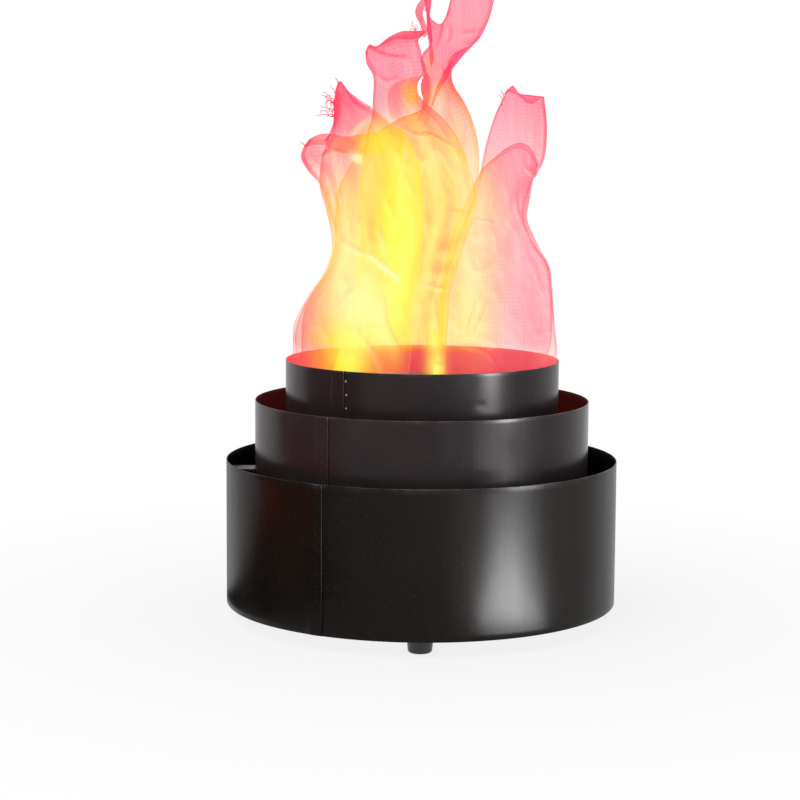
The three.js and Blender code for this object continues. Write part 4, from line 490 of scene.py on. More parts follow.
def cloth_values(surface, point, height, tone, back, folded, bunched):
    """Warmth, paleness, cover and depth of the cloth, from where it stands in the lamp light, how it folds and painted
    light and shade.
    """
    sizes, table = surface.sizes, surface.table
    x = point[..., 0] / FLAME_HALF_WIDTH
    z = (point[..., 2] - HEM_LEVEL) / FLAME_HEIGHT
    # Where it stands: warm over the middle of the lamps, cooler to the sides, upwards and behind the top ring
    lean = table["warm_lean"] * smooth_step(-0.55, -0.30, x)
    warmth = sizes.warm_reach * (1 - smooth_step(0.40, 1.0, np.abs(x + 0.12)))
    warmth = warmth * (1 - smooth_step(*table["warm_top"], z - lean))
    rim_line = RIM_SHARE + 0.029 * (1 - point[..., 1] / FLAME_HALF_WIDTH)
    over_rim = smooth_step(rim_line - 0.02, rim_line + 0.015, z)
    cool = 1 - (warmth * over_rim + 0.15 * (1 - over_rim))
    pale = np.zeros_like(cool)
    dense = sizes.dense * table["core"] * (1 - smooth_step(0.22, 0.42, np.abs(x + 0.02))) * over_rim
    dense = dense * (1 - smooth_step(0.46, 0.62, z))
    for middle, reach, strength, light, more in LIGHT_PATCHES:
        near = patch(x, z, middle, reach)
        cool = cool * (1 - strength * near)
        pale = np.maximum(pale, light * near)
        dense = np.maximum(dense, more * near)
    # How it folds: painted light and shade on the relief's lit and shaded sides and creases, turned edges and bunched
    # cloth
    lit = np.clip((slope(height, point, 0) + 0.5 * slope(height, point, 1)) / 0.3, -1, 1)
    lit = lit * (back < 0.01)
    bright, dark = np.clip(tone, 0, 1), np.clip(-tone, 0, 1)
    gathered = smooth_step(0.50, 0.75, z)
    warmth = np.clip(1 - cool + 0.10 * lit - 0.06 * dark, 0, 1)
    pale = np.clip(pale + 0.9 * bright + (0.22 - 0.14 * gathered) * np.clip(lit, 0, 1), 0, 1)
    # Painted lamp light: turned-back side edges are made warmer below the tips and near the middle
    edge_warmth = 0.3 * (1 - smooth_step(0.68, 0.76, z)) * (1 - smooth_step(0.35, 0.55, np.abs(x)))
    warmth = np.clip(warmth + edge_warmth * (back - folded), 0, 1)
    # Deeper colour: painted shade in dark creases and on the relief's shaded sides, more layers at turned edges and
    # bunched cloth
    deep = 0.60 * dark + 0.22 * np.clip(-lit, 0, 1) + (0.10 + 0.85 * gathered) * smooth_step(0.2, 0.5, folded)
    deep = deep + 0.35 * gathered * smooth_step(0.45, 0.9, bunched)
    cover = (table["cover"] * (0.55 + 0.45 * over_rim) + dense
             + sizes.gather * smooth_step(0.3, 0.95, bunched) * smooth_step(0.3, 0.6, z))
    cover = cover + 0.22 * gathered + 0.12 * smooth_step(0.6, 1, np.abs(x))
    side_hem = smooth_step(0, 0.3, back) * (1 - smooth_step(0.3, 0.6, folded))
    cover = cover * (1 - side_hem * (0.65 - 0.25 * smooth_step(0.35, 0.55, z)))
    cover = cover + 0.25 * dark - (0.08 - 0.04 * gathered) * lit + 0.45 * smooth_step(0.6, 0.9, bright) - 0.15 * bright
    values = np.stack([warmth, pale, cover, deep])
    for middle, reach, *change in table["patches"]:
        values = values + np.multiply.outer(change, patch(x, z, middle, reach))
    low, high = np.array([[0, 0, 0.15, 0], [1, 1, 0.97, 1]])[:, :, None, None]
    return dict(zip(("warmth", "pale", "cover", "deep"), np.clip(values, low, high)))


# Materials

class Nodes:
    """Adds nodes to a material or the world. What feeds an input is another node's socket, a colour or a number."""

    def __init__(self, owner):
        owner.use_nodes = True
        self.tree = owner.node_tree

    def feed(self, target, value):
        if isinstance(value, bpy.types.NodeSocket):
            self.tree.links.new(value, target)
        elif target.type == "RGBA":
            target.default_value = (*value, 1)
        else:
            target.default_value = value

    def add(self, kind, inputs=None, **settings):
        made = self.tree.nodes.new(kind)
        for name, value in settings.items():
            setattr(made, name, value)
        for place, value in (inputs or {}).items():
            self.feed(made.inputs[place], value)
        return made

    def place(self):
        return self.add("ShaderNodeTexCoord").outputs["Object"]

    def attribute(self, name):
        return self.add("ShaderNodeAttribute", attribute_name=name).outputs["Fac"]

    def grain(self, scale, detail=3.0, stretch=(1, 1, 1)):
        """Noise in object space, which the callers read for colour, roughness or bump."""
        mapping = self.add("ShaderNodeMapping", {"Vector": self.place(), "Scale": stretch})
        return self.add("ShaderNodeTexNoise", {"Vector": mapping.outputs["Vector"], "Scale": scale,
                                               "Detail": detail}).outputs["Fac"]

    def spread(self, value, low, high, start=0.3, stop=0.7):
        """A value from noise, stretched from start..stop to low..high."""
        return self.add("ShaderNodeMapRange", {"Value": value, "From Min": start, "From Max": stop, "To Min": low,
                                               "To Max": high}).outputs["Result"]

    def ramp(self, value, stops):
        made = self.add("ShaderNodeValToRGB", {"Fac": value})
        elements = made.color_ramp.elements
        while len(elements) < len(stops):
            elements.new(0.5)
        for element, (place, color) in zip(elements, stops):
            element.position = place
            element.color = (*color, 1)
        return made.outputs["Color"]

    def blended(self, share, first, second, blend="MIX"):
        return self.add("ShaderNodeMix", {0: share, 6: first, 7: second}, data_type="RGBA",
                        blend_type=blend).outputs[2]

    def computed(self, operation, first, second, clamp=False):
        return self.add("ShaderNodeMath", {0: first, 1: second}, operation=operation, use_clamp=clamp).outputs[0]

    def seen(self):
        """1 where the camera, a gloss or a see-through part looks, and 0 for the soft light."""
        path = self.add("ShaderNodeLightPath").outputs
        either = self.computed("MAXIMUM", path["Is Camera Ray"], path["Is Glossy Ray"])
        return self.computed("MAXIMUM", either, path["Is Transmission Ray"])


class Finish(Nodes):
    """A material round one principled shader."""

    def __init__(self, name, color, roughness=0.5, metallic=0.0, specular=0.5):
        self.material = bpy.data.materials.new(name)
        super().__init__(self.material)
        self.shader = self.tree.nodes["Principled BSDF"]
        for place, value in (("Base Color", color), ("Roughness", roughness), ("Metallic", metallic),
                             ("Specular IOR Level", specular)):
            self.put(place, value)

    def put(self, place, value):
        self.feed(self.shader.inputs[place], value)

    def glow(self, color, strength):
        self.put("Emission Color", color)
        self.put("Emission Strength", strength)

    def bump(self, height, distance, strength=0.5):
        self.put("Normal", self.add("ShaderNodeBump", {"Height": height, "Distance": distance,
                                                       "Strength": strength}).outputs["Normal"])


def black_paint(name, color, roughness, specular, dust):
    """Semi-gloss black paint on rolled steel: orange peel, handling marks, dust specks and a worn rim with a painted
    highlight.
    """
    paint = Finish(name, color, roughness, specular=specular)
    streaks = paint.grain(30, 3, (1, 1, 0.12))
    specks = paint.spread(paint.grain(900, 2), 0, dust, 0.62, 0.78)
    # Pale rim line from make_ring: bare steel where the paint is worn, and a painted highlight at the front right
    rim_wear_and_highlight = paint.computed("MULTIPLY", paint.attribute("rim_wear_and_highlight"), paint.spread(paint.grain(160, 3), 0.2, 1))
    lighter = tuple(1.5 * c + 0.0015 for c in color)
    tinted = paint.blended(paint.spread(paint.grain(14, 4), 0, 1), color, lighter)
    dusty = paint.blended(specks, tinted, (0.16, 0.155, 0.15))
    paint.put("Base Color", paint.blended(rim_wear_and_highlight, dusty, (0.5, 0.48, 0.46)))
    paint.put("Roughness", paint.spread(streaks, roughness - 0.05, roughness + 0.07))
    peel = paint.computed("ADD", paint.grain(420, 2), paint.computed("MULTIPLY", streaks, 1.5))
    paint.bump(peel, 0.00004, 0.35)
    return paint.material


def lit_wall(name, paint, low_color, high_color, strength, specular=0.3):
    """The inside of a ring, black paint washed by the lamps."""
    wall = Finish(name, paint, 0.42, specular=specular)
    light = wall.attribute("lamp_light")
    uneven = wall.computed("MULTIPLY", light, wall.spread(wall.grain(22, 3), 0.8, 1.1))
    washed = wall.blended(light, low_color, high_color)
    wall.glow(wall.blended(wall.attribute("lamp_spot"), washed, (1.0, 0.55, 0.05)),
              wall.computed("MULTIPLY", uneven, strength))
    wall.bump(wall.grain(300, 2), 0.00004, 0.3)
    return wall.material


def flame_silk(sizes):
    """Sheer plain-weave silk, lamp light from below painted in as glow: see-through, warm where the lamps reach it,
    deeper where it folds and in painted shade.
    """
    silk = Finish("flame_silk", (0.5, 0.1, 0.12), 0.55, specular=0.25)
    cloud = silk.spread(silk.grain(26, 4, (1, 1, 0.45)), -0.06, 0.06)
    warm = silk.computed("ADD", silk.attribute("warmth"), cloud, clamp=True)
    tint = silk.ramp(warm, [(0.0, sizes.edge_pink), (0.2, sizes.rose), (0.35, sizes.salmon), (0.55, sizes.orange),
                            (0.7, sizes.amber), (0.85, sizes.yellow), (1.0, sizes.core_yellow)])
    # Paler where lamp light washes it out, and painted highlights along creases and on the relief's lit sides
    tint = silk.blended(silk.attribute("pale"), tint, sizes.pale_yellow)
    # Deeper pink: more layers at turned edges and bunched cloth, and painted shade in creases and on the relief's
    # shaded sides
    tint = silk.blended(silk.attribute("deep"), tint, sizes.fold_and_shade_pink)
    waves = {"Vector": silk.add("ShaderNodeUVMap", uv_map="cloth").outputs["UV"],
             "Scale": 1 / (20 * sizes.thread_pitch), "Distortion": 0.6, "Detail": 1.0, "Detail Scale": 0.4}
    weft, warp = (silk.add("ShaderNodeTexWave", waves, bands_direction=way).outputs["Fac"] for way in "XY")
    weave = silk.computed("MULTIPLY", weft, warp)
    slub = silk.spread(silk.grain(240, 2, (1, 1, 0.1)), -0.03, 0.03)
    tint = silk.blended(0.10, tint, silk.blended(weave, (0.5, 0.05, 0.08), (1.0, 0.9, 0.8)), "OVERLAY")
    silk.glow(tint, sizes.glow)
    dimmed = silk.add("ShaderNodeVectorMath", {0: tint, "Scale": sizes.reflected}, operation="SCALE")
    silk.put("Base Color", dimmed.outputs[0])
    opening = silk.spread(weave, 0.018, -0.042, 0.0, 1.0)
    cover = silk.computed("ADD", silk.attribute("cover"), slub)
    silk.put("Alpha", silk.computed("ADD", cover, opening, clamp=True))
    silk.bump(silk.computed("ADD", weave, silk.grain(180, 3)), 0.00008, 0.4)
    return silk.material


def thread_finish(color):
    """Yarn of a torn edge, lit unevenly along its length."""
    yarn = Finish("loose_thread", color, 0.6, specular=0.3)
    yarn.glow(color, yarn.spread(yarn.grain(600, 2), 0.35, 0.55))
    return yarn.material


def lens_finish(name, color, strength):
    """A moulded lens cap over a lit emitter."""
    lens = Finish(name, color, 0.16, specular=0.6)
    lens.put("Coat Weight", 0.5)
    lens.put("Coat Roughness", 0.08)
    cells = lens.add("ShaderNodeTexVoronoi", {"Vector": lens.place(), "Scale": 420.0}).outputs["Distance"]
    lens.glow(color, lens.spread(cells, strength, strength * 0.45, 0.0, 0.8))
    lens.bump(cells, 0.0003)
    return lens.material


def worked_metal(name, color, roughness, metallic, scale):
    """Plated or cast metal with uneven tone and roughness."""
    metal = Finish(name, color, roughness, metallic)
    darker = tuple(c * 0.75 for c in color)
    metal.put("Base Color", metal.blended(metal.spread(metal.grain(scale, 4), 0, 1), darker, color))
    metal.put("Roughness", metal.spread(metal.grain(scale * 3, 3), roughness - 0.08, roughness + 0.1))
    metal.bump(metal.grain(scale * 12, 2), 0.00005, 0.3)
    return metal.material


def moulded(name, color, roughness, scale=700, depth=0.00005):
    """Moulded plastic or rubber with a fine spark-eroded grain."""
    plastic = Finish(name, color, roughness)
    lighter = tuple(min(1, c * 1.35 + 0.006) for c in color)
    plastic.put("Base Color", plastic.blended(plastic.spread(plastic.grain(40, 3), 0, 1), color, lighter))
    plastic.put("Roughness", plastic.spread(plastic.grain(90, 3), roughness - 0.06, roughness + 0.08))
    plastic.bump(plastic.grain(scale, 2), depth)
    return plastic.material


def wound_copper():
    """Enamelled wire laid round the stator."""
    copper = Finish("copper_winding", (0.42, 0.16, 0.06), 0.35, 0.8)
    turns = copper.add("ShaderNodeTexWave", {"Vector": copper.place(), "Scale": 320.0, "Distortion": 1.0},
                       bands_direction="Z").outputs["Fac"]
    copper.put("Base Color", copper.blended(turns, (0.2, 0.06, 0.02), (0.5, 0.2, 0.07)))
    copper.bump(turns, 0.0002, 0.6)
    return copper.material


def circuit_board():
    """White solder mask with pale copper tracks under it."""
    mask = (0.8, 0.82, 0.78)
    board = Finish("white_board", mask, 0.4)
    cells = board.add("ShaderNodeTexVoronoi", {"Vector": board.place(), "Scale": 70.0}, feature="DISTANCE_TO_EDGE")
    track = board.spread(cells.outputs["Distance"], 1, 0, 0.03, 0.05)
    board.put("Base Color", board.blended(board.computed("MULTIPLY", track, 0.35), mask, (0.5, 0.55, 0.5)))
    board.bump(track, 0.00006, 0.4)
    return board.material


# Meshes

def mesh_piece(name, points, faces):
    mesh = bpy.data.meshes.new(name)
    mesh.from_pydata([tuple(map(float, point)) for point in points], [], faces)
    mesh.validate()
    mesh.polygons.foreach_set("use_smooth", [True] * len(mesh.polygons))
    mesh.update()
    piece = bpy.data.objects.new(name, mesh)
    bpy.context.scene.collection.objects.link(piece)
    return piece


def grid_faces(rows, columns, wrap=False, keep=None):
    """Cells of a grid of points, joined to a ring both ways if wrapped; keep(row, column) leaves cells out."""
    faces = []
    for row in range(rows - 1 + wrap):
        for column in range(columns - 1 + wrap):
            if keep is None or keep(row, column):
                low, high, after = row * columns, (row + 1) % rows * columns, (column + 1) % columns
                faces.append((low + column, low + after, high + after, high + column))
    return faces


def point_values(piece, name, values):
    data = piece.data.attributes.new(name, "FLOAT", "POINT")
    data.data.foreach_set("value", np.asarray(values, np.float32).ravel())


def hard_edges(piece, angle=35.0):
    """Shades smooth apart from edges sharper than the angle."""
    shaped = bmesh.new()
    shaped.from_mesh(piece.data)
    bmesh.ops.recalc_face_normals(shaped, faces=shaped.faces)
    for edge in shaped.edges:
        edge.smooth = len(edge.link_faces) == 2 and edge.calc_face_angle(0) < math.radians(angle)
    shaped.to_mesh(piece.data)
    shaped.free()


def lathe(name, profile, segments, middle=(0, 0, 0), closed=False):
    """A profile of (radius, height) pairs turned about an upright axis; points on the axis become one vertex."""
    points, rings = [], []
    for radius, height in profile:
        count = segments if radius > 1e-6 else 1
        rings.append([len(points) + step % count for step in range(segments)])
        for step in range(count):
            turn = 2 * math.pi * step / segments
            points.append((middle[0] + radius * math.cos(turn), middle[1] + radius * math.sin(turn),
                           middle[2] + height))
    faces = []
    for low, high in zip(rings, rings[1:] + (rings[:1] if closed else [])):
        for step in range(segments):
            corners = [low[step], low[(step + 1) % segments], high[(step + 1) % segments], high[step]]
            corners = tuple(dict.fromkeys(corners))
            if len(corners) > 2:
                faces.append(corners)
    piece = mesh_piece(name, points, faces)
    hard_edges(piece)
    return piece


def finish_piece(piece, slot_name, *materials, replaces=()):
    for material in materials:
        piece.data.materials.append(material)
    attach(piece, BODY)
    if replaces:
        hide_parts(*replaces)
    return piece


# Housing

WALL = 0.0008
LAP = 0.010
JOGGLE = 0.0025
SEAM_EDGE = 0.00012
SEAM_GROOVE = 0.0009
RING_SIDES = 288
RING_LEVELS = 26
WELD_SIDES = 14
# How far the skins keep from the rolled rim and from the foot of a ring, and the depth at which the lamp light starts
RIM_ROLL = 0.0004
FOOT_ROLL = 0.0003
INNER_FROM = 0.00055
# Depth into the wall and drop below the highest line, over the rolled rim
RIM = [(0.00008, 0.00018), (0.00024, 0.00004), (0.0004, 0), (0.00056, 0.00004), (0.00072, 0.00018)]
# The rings. dents: angle, height, half width, half height, depth. spots, which the lamps throw on the inner wall:
# middle angle, half width in degrees, strength. welds along the seam: angle, lowest, highest, count, radius, proud
# height
RINGS = {
    "outer_drum": {
        "radius": 0.155, "low": 0.013, "high": 0.127, "seam": 241.9, "spots": [],
        "dents": [(262.0, 0.0900, 0.030, 0.025, 0.0004), (318.0, 0.0800, 0.030, 0.030, 0.0002)],
        "welds": (240.0, 0.020, 0.120, 11, 0.0013, 0.00030),
    },
    "middle_ring": {
        "radius": 0.1322, "low": 0.104, "high": 0.174, "seam": 238.2, "spots": [],
        "dents": [(300.0, 0.1450, 0.0200, 0.0150, 0.0003)],
        "welds": (236.2, 0.110, 0.168, 5, 0.0012, 0.00025),
    },
    "top_ring": {
        "radius": 0.1081, "low": 0.150, "high": 0.206, "seam": 237.0,
        "spots": [(109, 7, 0.50), (66, 7, 0.15), (142, 9, 0.45), (250, 14, 0.8), (292, 10, 0.8)],
        "dents": [(294.2, 0.1820, 0.0032, 0.0020, 0.00027), (235.6, 0.1765, 0.0008, 0.0050, -0.0006)],
        "welds": (238.0, 0.1776, 0.1982, 3, 0.0011, 0.00040),
    },
}
# Cut-outs of the drum for the inlet and the switch: middle angle, width, height
CUTOUTS = [(90, 0.0276, 0.0206), (72, 0.0156, 0.0226)]
CUTOUT_LEVEL = 0.046


def cutout_half(width):
    """Half the angle that a cut-out takes up on the drum."""
    return math.degrees(math.asin(width / 2 / RINGS["outer_drum"]["radius"]))


def ring_angles(name):
    """Angles round a ring, with extra ones at its lap seam and its cut-outs, and the lift of the outer skin there."""
    radius, seam = RINGS[name]["radius"], RINGS[name]["seam"]
    lap, joggle, edge, groove = (math.degrees(length / radius) for length in (LAP, JOGGLE, SEAM_EDGE, SEAM_GROOVE))
    start = seam + groove + 3 * edge
    knots = [(seam - lap - joggle, 0), (seam - lap - joggle * 0.5, WALL / 2), (seam - lap, WALL), (seam - edge, WALL),
             (seam, WALL * 0.8), (seam + edge, -WALL * 0.55), (seam + groove, -WALL * 0.55), (start, 0)]
    knots = [(angle + 360, lift) for angle, lift in knots]
    angles = [start + (360 - groove - 3 * edge - lap - joggle) * step / RING_SIDES for step in range(1, RING_SIDES)]
    angles += [angle for angle, _ in knots]
    angles += [seam + 360 - lap * share for share in (0.2, 0.4, 0.6, 0.8)]
    if name == "outer_drum":
        for middle, width, _ in CUTOUTS:
            half = cutout_half(width)
            angles = [angle for angle in angles if abs(abs(angle % 360 - middle) - half) > 0.1]
            angles += [360 + middle - half, 360 + middle + half]
    angles = np.array(sorted(angles))
    return angles, np.interp(angles, *zip((seam, 0), *knots, (seam + 720, 0)))


def make_ring(name, sizes):
    """A shell of sheet, up the outer skin, over the rim and down the inner skin, with values for its finishes, its
    painted rim highlight and painted lamp light.
    """
    ring = RINGS[name]
    radius, low, high = ring["radius"], ring["low"], ring["high"]
    cutouts = CUTOUTS if name == "outer_drum" else []
    edges = [CUTOUT_LEVEL + side * cutout[2] / 2 for cutout in cutouts for side in (-1, 1)]
    levels = [level for level in np.linspace(low + FOOT_ROLL, high - RIM_ROLL, RING_LEVELS)
              if all(abs(level - edge) > 0.0012 for edge in edges)]
    levels = sorted(levels + edges)
    profile = [(0.0, level) for level in levels] + [(depth, high - drop) for depth, drop in RIM]
    profile += [(WALL, level) for level in reversed(levels)] + [(WALL - 0.0002, low), (0.0002, low)]
    depth, level = np.array(profile).T[:, :, None]
    angles, lifts = ring_angles(name)
    turn = np.radians(angles)
    wave = sizes.waviness * (np.sin(2 * turn + 0.6) + 0.6 * np.sin(5 * turn + 2.0) + 0.35 * np.sin(9 * turn + 0.4))
    sway = 0.4 + 0.6 * np.sin(level * 31 + 2 * turn)
    reach = radius - depth + lifts * (1 - np.minimum(1, depth / WALL)) + wave * sway
    for angle, height, wide, tall, dent in ring["dents"]:
        away = (angles % 360 - angle) * math.pi / 180 * radius / wide
        reach = reach - dent * np.exp(-away ** 2 - ((level - height) / tall) ** 2)
    rows, columns = reach.shape

    def keep(row, column):
        start, stop = angles[column], angles[(column + 1) % columns]
        rise = (profile[row][1] + profile[(row + 1) % rows][1]) / 2
        return not any(abs((start + stop) / 2 % 360 - middle) < cutout_half(width) and abs(stop - start) < 90
                       and abs(rise - CUTOUT_LEVEL) < height / 2 for middle, width, height in cutouts)

    faces = grid_faces(rows, columns, wrap=True, keep=keep)
    piece = mesh_piece(name + "_wall", polar(reach, angles, level).reshape(-1, 3), faces)
    near_rim = smooth_step(high - 0.0005, high - 0.0001, level)
    # Uneven worn paint along the rim, with a painted highlight added round 305 degrees at the front right
    patchy_wear_and_highlight = np.clip(0.30 + 0.45 * soft_noise(angles / 7.0, np.full_like(angles, 3.3), 21)
                     + 0.25 * np.exp(-((angles - 305) / 30) ** 2), 0.05, 1)
    inside = depth > INNER_FROM
    rise = smooth_step(low, high, level)
    glow = np.zeros_like(turn)
    for middle, wide, strength in ring["spots"]:
        glow = glow + strength * np.exp(-((angles % 360 - middle) / wide) ** 2)
    for key, values in (("rim_wear_and_highlight", near_rim * patchy_wear_and_highlight * np.where(depth < WALL, 0.75, 0.25)),
                        ("lamp_light", inside * (0.35 + 0.65 * rise)),
                        ("lamp_spot", inside * np.clip(glow, 0, 1) * (1 - 0.5 * rise))):
        point_values(piece, key, np.broadcast_to(values, reach.shape))
    if cutouts:
        close_cutouts(piece, columns, len(levels))
    hard_edges(piece, 40)
    return piece


def close_cutouts(piece, columns, outer_rows):
    """Joins the outer and inner skins round each cut-out with the thickness of the sheet."""
    shaped = bmesh.new()
    shaped.from_mesh(piece.data)
    shaped.verts.ensure_lookup_table()
    last_inner = 2 * outer_rows + len(RIM) - 1
    for edge in [edge for edge in shaped.edges if len(edge.link_faces) == 1]:
        ends = [divmod(vertex.index, columns) for vertex in edge.verts]
        if all(row < outer_rows for row, _ in ends):
            partners = [shaped.verts[(last_inner - row) * columns + column] for row, column in ends]
            shaped.faces.new([edge.verts[0], edge.verts[1], partners[1], partners[0]])
    shaped.to_mesh(piece.data)
    shaped.free()


def make_welds(ring):
    """Flattened beads in one mesh, sunk a little into the skin of the ring."""
    angle, low, high, count, radius, proud = RINGS[ring]["welds"]
    points, faces = [], []
    reach = RINGS[ring]["radius"] + (WALL if angle < RINGS[ring]["seam"] else 0)
    out = polar(1, angle, 0)
    side = np.array([-out[1], out[0], 0])
    for bead in range(count):
        level = low + (high - low) * bead / (count - 1)
        wobble = 0.0003 * math.sin(bead * 2.4)
        middle = out * reach + np.array([0, 0, level]) + side * wobble
        start = len(points) + 1
        points.append(middle + out * proud)
        for share, rise in ((0.35, 0.93), (0.7, 0.55), (1.0, -0.6)):
            for step in range(WELD_SIDES):
                turn = 2 * math.pi * step / WELD_SIDES
                flat = radius * share * (1 + 0.06 * math.sin(3 * turn + bead))
                points.append(middle + out * proud * rise + side * flat * math.cos(turn)
                              + np.array([0, 0, flat * math.sin(turn)]))
        for step in range(WELD_SIDES):
            after = (step + 1) % WELD_SIDES
            faces.append((start - 1, start + step, start + after))
            for low_ring in (start, start + WELD_SIDES):
                high_ring = low_ring + WELD_SIDES
                faces.append((low_ring + step, high_ring + step, high_ring + after, low_ring + after))
        faces.append(tuple(range(start + 3 * WELD_SIDES - 1, start + 2 * WELD_SIDES - 1, -1)))
    piece = mesh_piece(ring + "_welds", points, faces)
    hard_edges(piece, 80)
    return piece


FEET = {"foot_1": 270, "foot_2": 0, "foot_3": 90, "foot_4": 180}
FOOT_CIRCLE = 0.130
FOOT_TOP = 0.0127
FOOT_SIDES = 64


def make_foot(name, angle):
    """A moulded rubber foot: tapered, with rolled edges, a parting line and a screw recess."""
    profile = [(0.0024, FOOT_TOP - 0.0002), (0.0027, FOOT_TOP), (0.0092, FOOT_TOP), (0.0097, FOOT_TOP - 0.0002),
               (0.00995, FOOT_TOP - 0.0007), (0.00992, 0.0098), (0.01005, 0.0096), (0.01005, 0.0093),
               (0.00988, 0.0091), (0.0093, 0.0030), (0.0091, 0.0016), (0.0087, 0.0008), (0.0081, 0.0003),
               (0.0074, 0.00005), (0.0068, 0.0), (0.0056, 0.0), (0.0051, 0.0003), (0.00495, 0.0009),
               (0.00495, 0.0050), (0.0024, 0.0050)]
    return lathe(name + "_rubber", profile, FOOT_SIDES, polar(FOOT_CIRCLE, angle, 0), closed=True)


# Silk

STRIP_ROWS, STRIP_COLUMNS = 90, 8
THREAD_STEPS, THREAD_SIDES = 36, 6
# The narrow twisted strip that stands on the front tongue: middle in flame shares, width in metres, turn in degrees
STRIP = [((-0.020, -0.150, 0.796), 0.0052, 10), ((0.004, -0.150, 0.806), 0.0050, 20),
         ((-0.004, -0.135, 0.816), 0.0048, 30), ((-0.020, -0.120, 0.828), 0.0050, 25),
         ((-0.040, -0.105, 0.840), 0.0060, 10), ((-0.042, -0.090, 0.850), 0.0060, -10),
         ((-0.028, -0.075, 0.863), 0.0052, -30), ((-0.008, -0.060, 0.876), 0.0042, -55),
         ((0.012, -0.050, 0.893), 0.0050, -25), ((0.018, -0.045, 0.912), 0.0050, 15),
         ((0.002, -0.045, 0.930), 0.0030, 30)]


def lay_cloth(piece, place):
    """Keeps the places on the flat cloth as the texture map."""
    layer = piece.data.uv_layers.new(name="cloth")
    corners = np.empty(len(piece.data.loops), np.int32)
    piece.data.loops.foreach_get("vertex_index", corners)
    layer.data.foreach_set("uv", place.reshape(-1, 2)[corners].astype(np.float32).ravel())


def cloth_piece(name, point, place, values, material, replaces=()):
    """A grid of cloth points with its texture map and shading values."""
    piece = mesh_piece(name, point.reshape(-1, 3), grid_faces(*point.shape[:2]))
    for key, value in values.items():
        point_values(piece, key, value)
    lay_cloth(piece, place)
    return finish_piece(piece, "flame_silk", material, replaces=replaces)


def make_strip(material):
    """The strip as a sheet of its own, with its edges deeper in colour and painted shade where it twists."""
    middle = SmoothLine([flame_point(place) for place, _, _ in STRIP])
    share = np.linspace(0, 1, STRIP_ROWS + 1)
    knots = np.linspace(0, 1, len(STRIP))
    width = np.interp(share, knots, [knot[1] for knot in STRIP])
    turn = np.radians(np.interp(share, knots, [knot[2] for knot in STRIP]))
    line = middle.at(share)
    along = np.gradient(line, axis=0)
    along /= np.linalg.norm(along, axis=1, keepdims=True)
    flat = np.cross([0, 1, 0], along)
    flat /= np.linalg.norm(flat, axis=1, keepdims=True)
    depth = np.cross(along, flat)
    across = np.linspace(-0.5, 0.5, STRIP_COLUMNS + 1)
    lean = flat * np.cos(turn)[:, None] + depth * np.sin(turn)[:, None]
    cup = np.cross(along, lean)[:, None, :] * (0.0012 * (across[None, :, None] * 2) ** 2)
    point = line[:, None, :] + lean[:, None, :] * (width[:, None] * across)[:, :, None] + cup
    place = np.stack(np.broadcast_arrays(across * 0.005, (share * middle.length)[:, None]), axis=-1)
    edge, twist = np.broadcast_arrays(np.abs(across) * 2, np.abs(np.sin(turn))[:, None])
    # Deeper colour all along with painted shade where the strip twists, and thicker cloth towards the edges
    values = {"warmth": 0 * edge, "pale": 0 * edge, "cover": 0.80 + 0.15 * edge ** 3,
              "deep": np.clip(0.45 + 0.5 * twist, 0, 1)}
    return cloth_piece("silk_front_strip", point, place, values, material)


def make_threads(name, sizes, material):
    """The loose threads of one tongue as fine tubes in one mesh."""
    points, faces = [], []
    for root, tip, curl, turns in TONGUES[name]["threads"]:
        a, b = np.array(flame_point(root)), np.array(flame_point(tip))
        along = (b - a) / np.linalg.norm(b - a)
        aside = np.cross(along, [0, 1, 0])
        aside /= np.linalg.norm(aside)
        first_phase = root[2] * 40
        start = len(points)
        for step in range(THREAD_STEPS + 1):
            share = step / THREAD_STEPS
            phase = 2 * math.pi * turns * share + first_phase
            loop = curl / 1000 * math.sin(math.pi * min(1, share * 1.2) / 2) * (1 - 0.35 * share)
            middle = a + (b - a) * share + loop * (math.sin(phase) - math.sin(first_phase)) * aside
            middle = middle + loop * (math.cos(phase) - math.cos(first_phase)) * (0.8 * along + np.array([0, 0.5, 0]))
            radius = sizes.thread_radius * (1 - 0.5 * share)
            for side in range(THREAD_SIDES):
                turn = 2 * math.pi * side / THREAD_SIDES
                points.append(middle + (aside * math.cos(turn) + along * 0.7 * math.sin(turn)
                                        + np.array([0, 0.7 * math.sin(turn), 0])) * radius)
        for low in range(start, len(points) - THREAD_SIDES, THREAD_SIDES):
            high = low + THREAD_SIDES
            for side in range(THREAD_SIDES):
                after = (side + 1) % THREAD_SIDES
                faces.append((low + side, low + after, high + after, high + side))
        faces.append(tuple(range(start + THREAD_SIDES - 1, start - 1, -1)))
        faces.append(tuple(range(len(points) - THREAD_SIDES, len(points))))
    return finish_piece(mesh_piece(name + "_threads", points, faces), "flame_silk", material)


# Lamps

LENS_COUNT = 8
LENS_SIDES = 48
LENS_CIRCLE = 0.0965
LENS_LEVEL = 0.1166


def make_lens(name, angle):
    """A flared lens cap: a stepped foot, a swept skirt and a dished face inside a raised lip."""
    profile = [(0.0, 0.0), (0.0050, 0.0), (0.0054, 0.0003), (0.0055, 0.0012), (0.0055, 0.0022), (0.0060, 0.0034),
               (0.0068, 0.0052), (0.0076, 0.0070), (0.0083, 0.0086), (0.0088, 0.0098), (0.0090, 0.0104),
               (0.0090, 0.0108), (0.0088, 0.0110), (0.0078, 0.0110), (0.0075, 0.0107), (0.0066, 0.0096),
               (0.0048, 0.0088), (0.0025, 0.0085), (0.0, 0.0085)]
    return lathe(name + "_cap", profile, LENS_SIDES, polar(LENS_CIRCLE, angle, LENS_LEVEL))


# Studio

CAMERA_PLACE = (0, -1.74618, 0.3962)
CAMERA_TILT = 0.1271
CAMERA_ROLL = 0.0080
CAMERA_LENS = 99.69
CAMERA_SHIFT = -0.02745

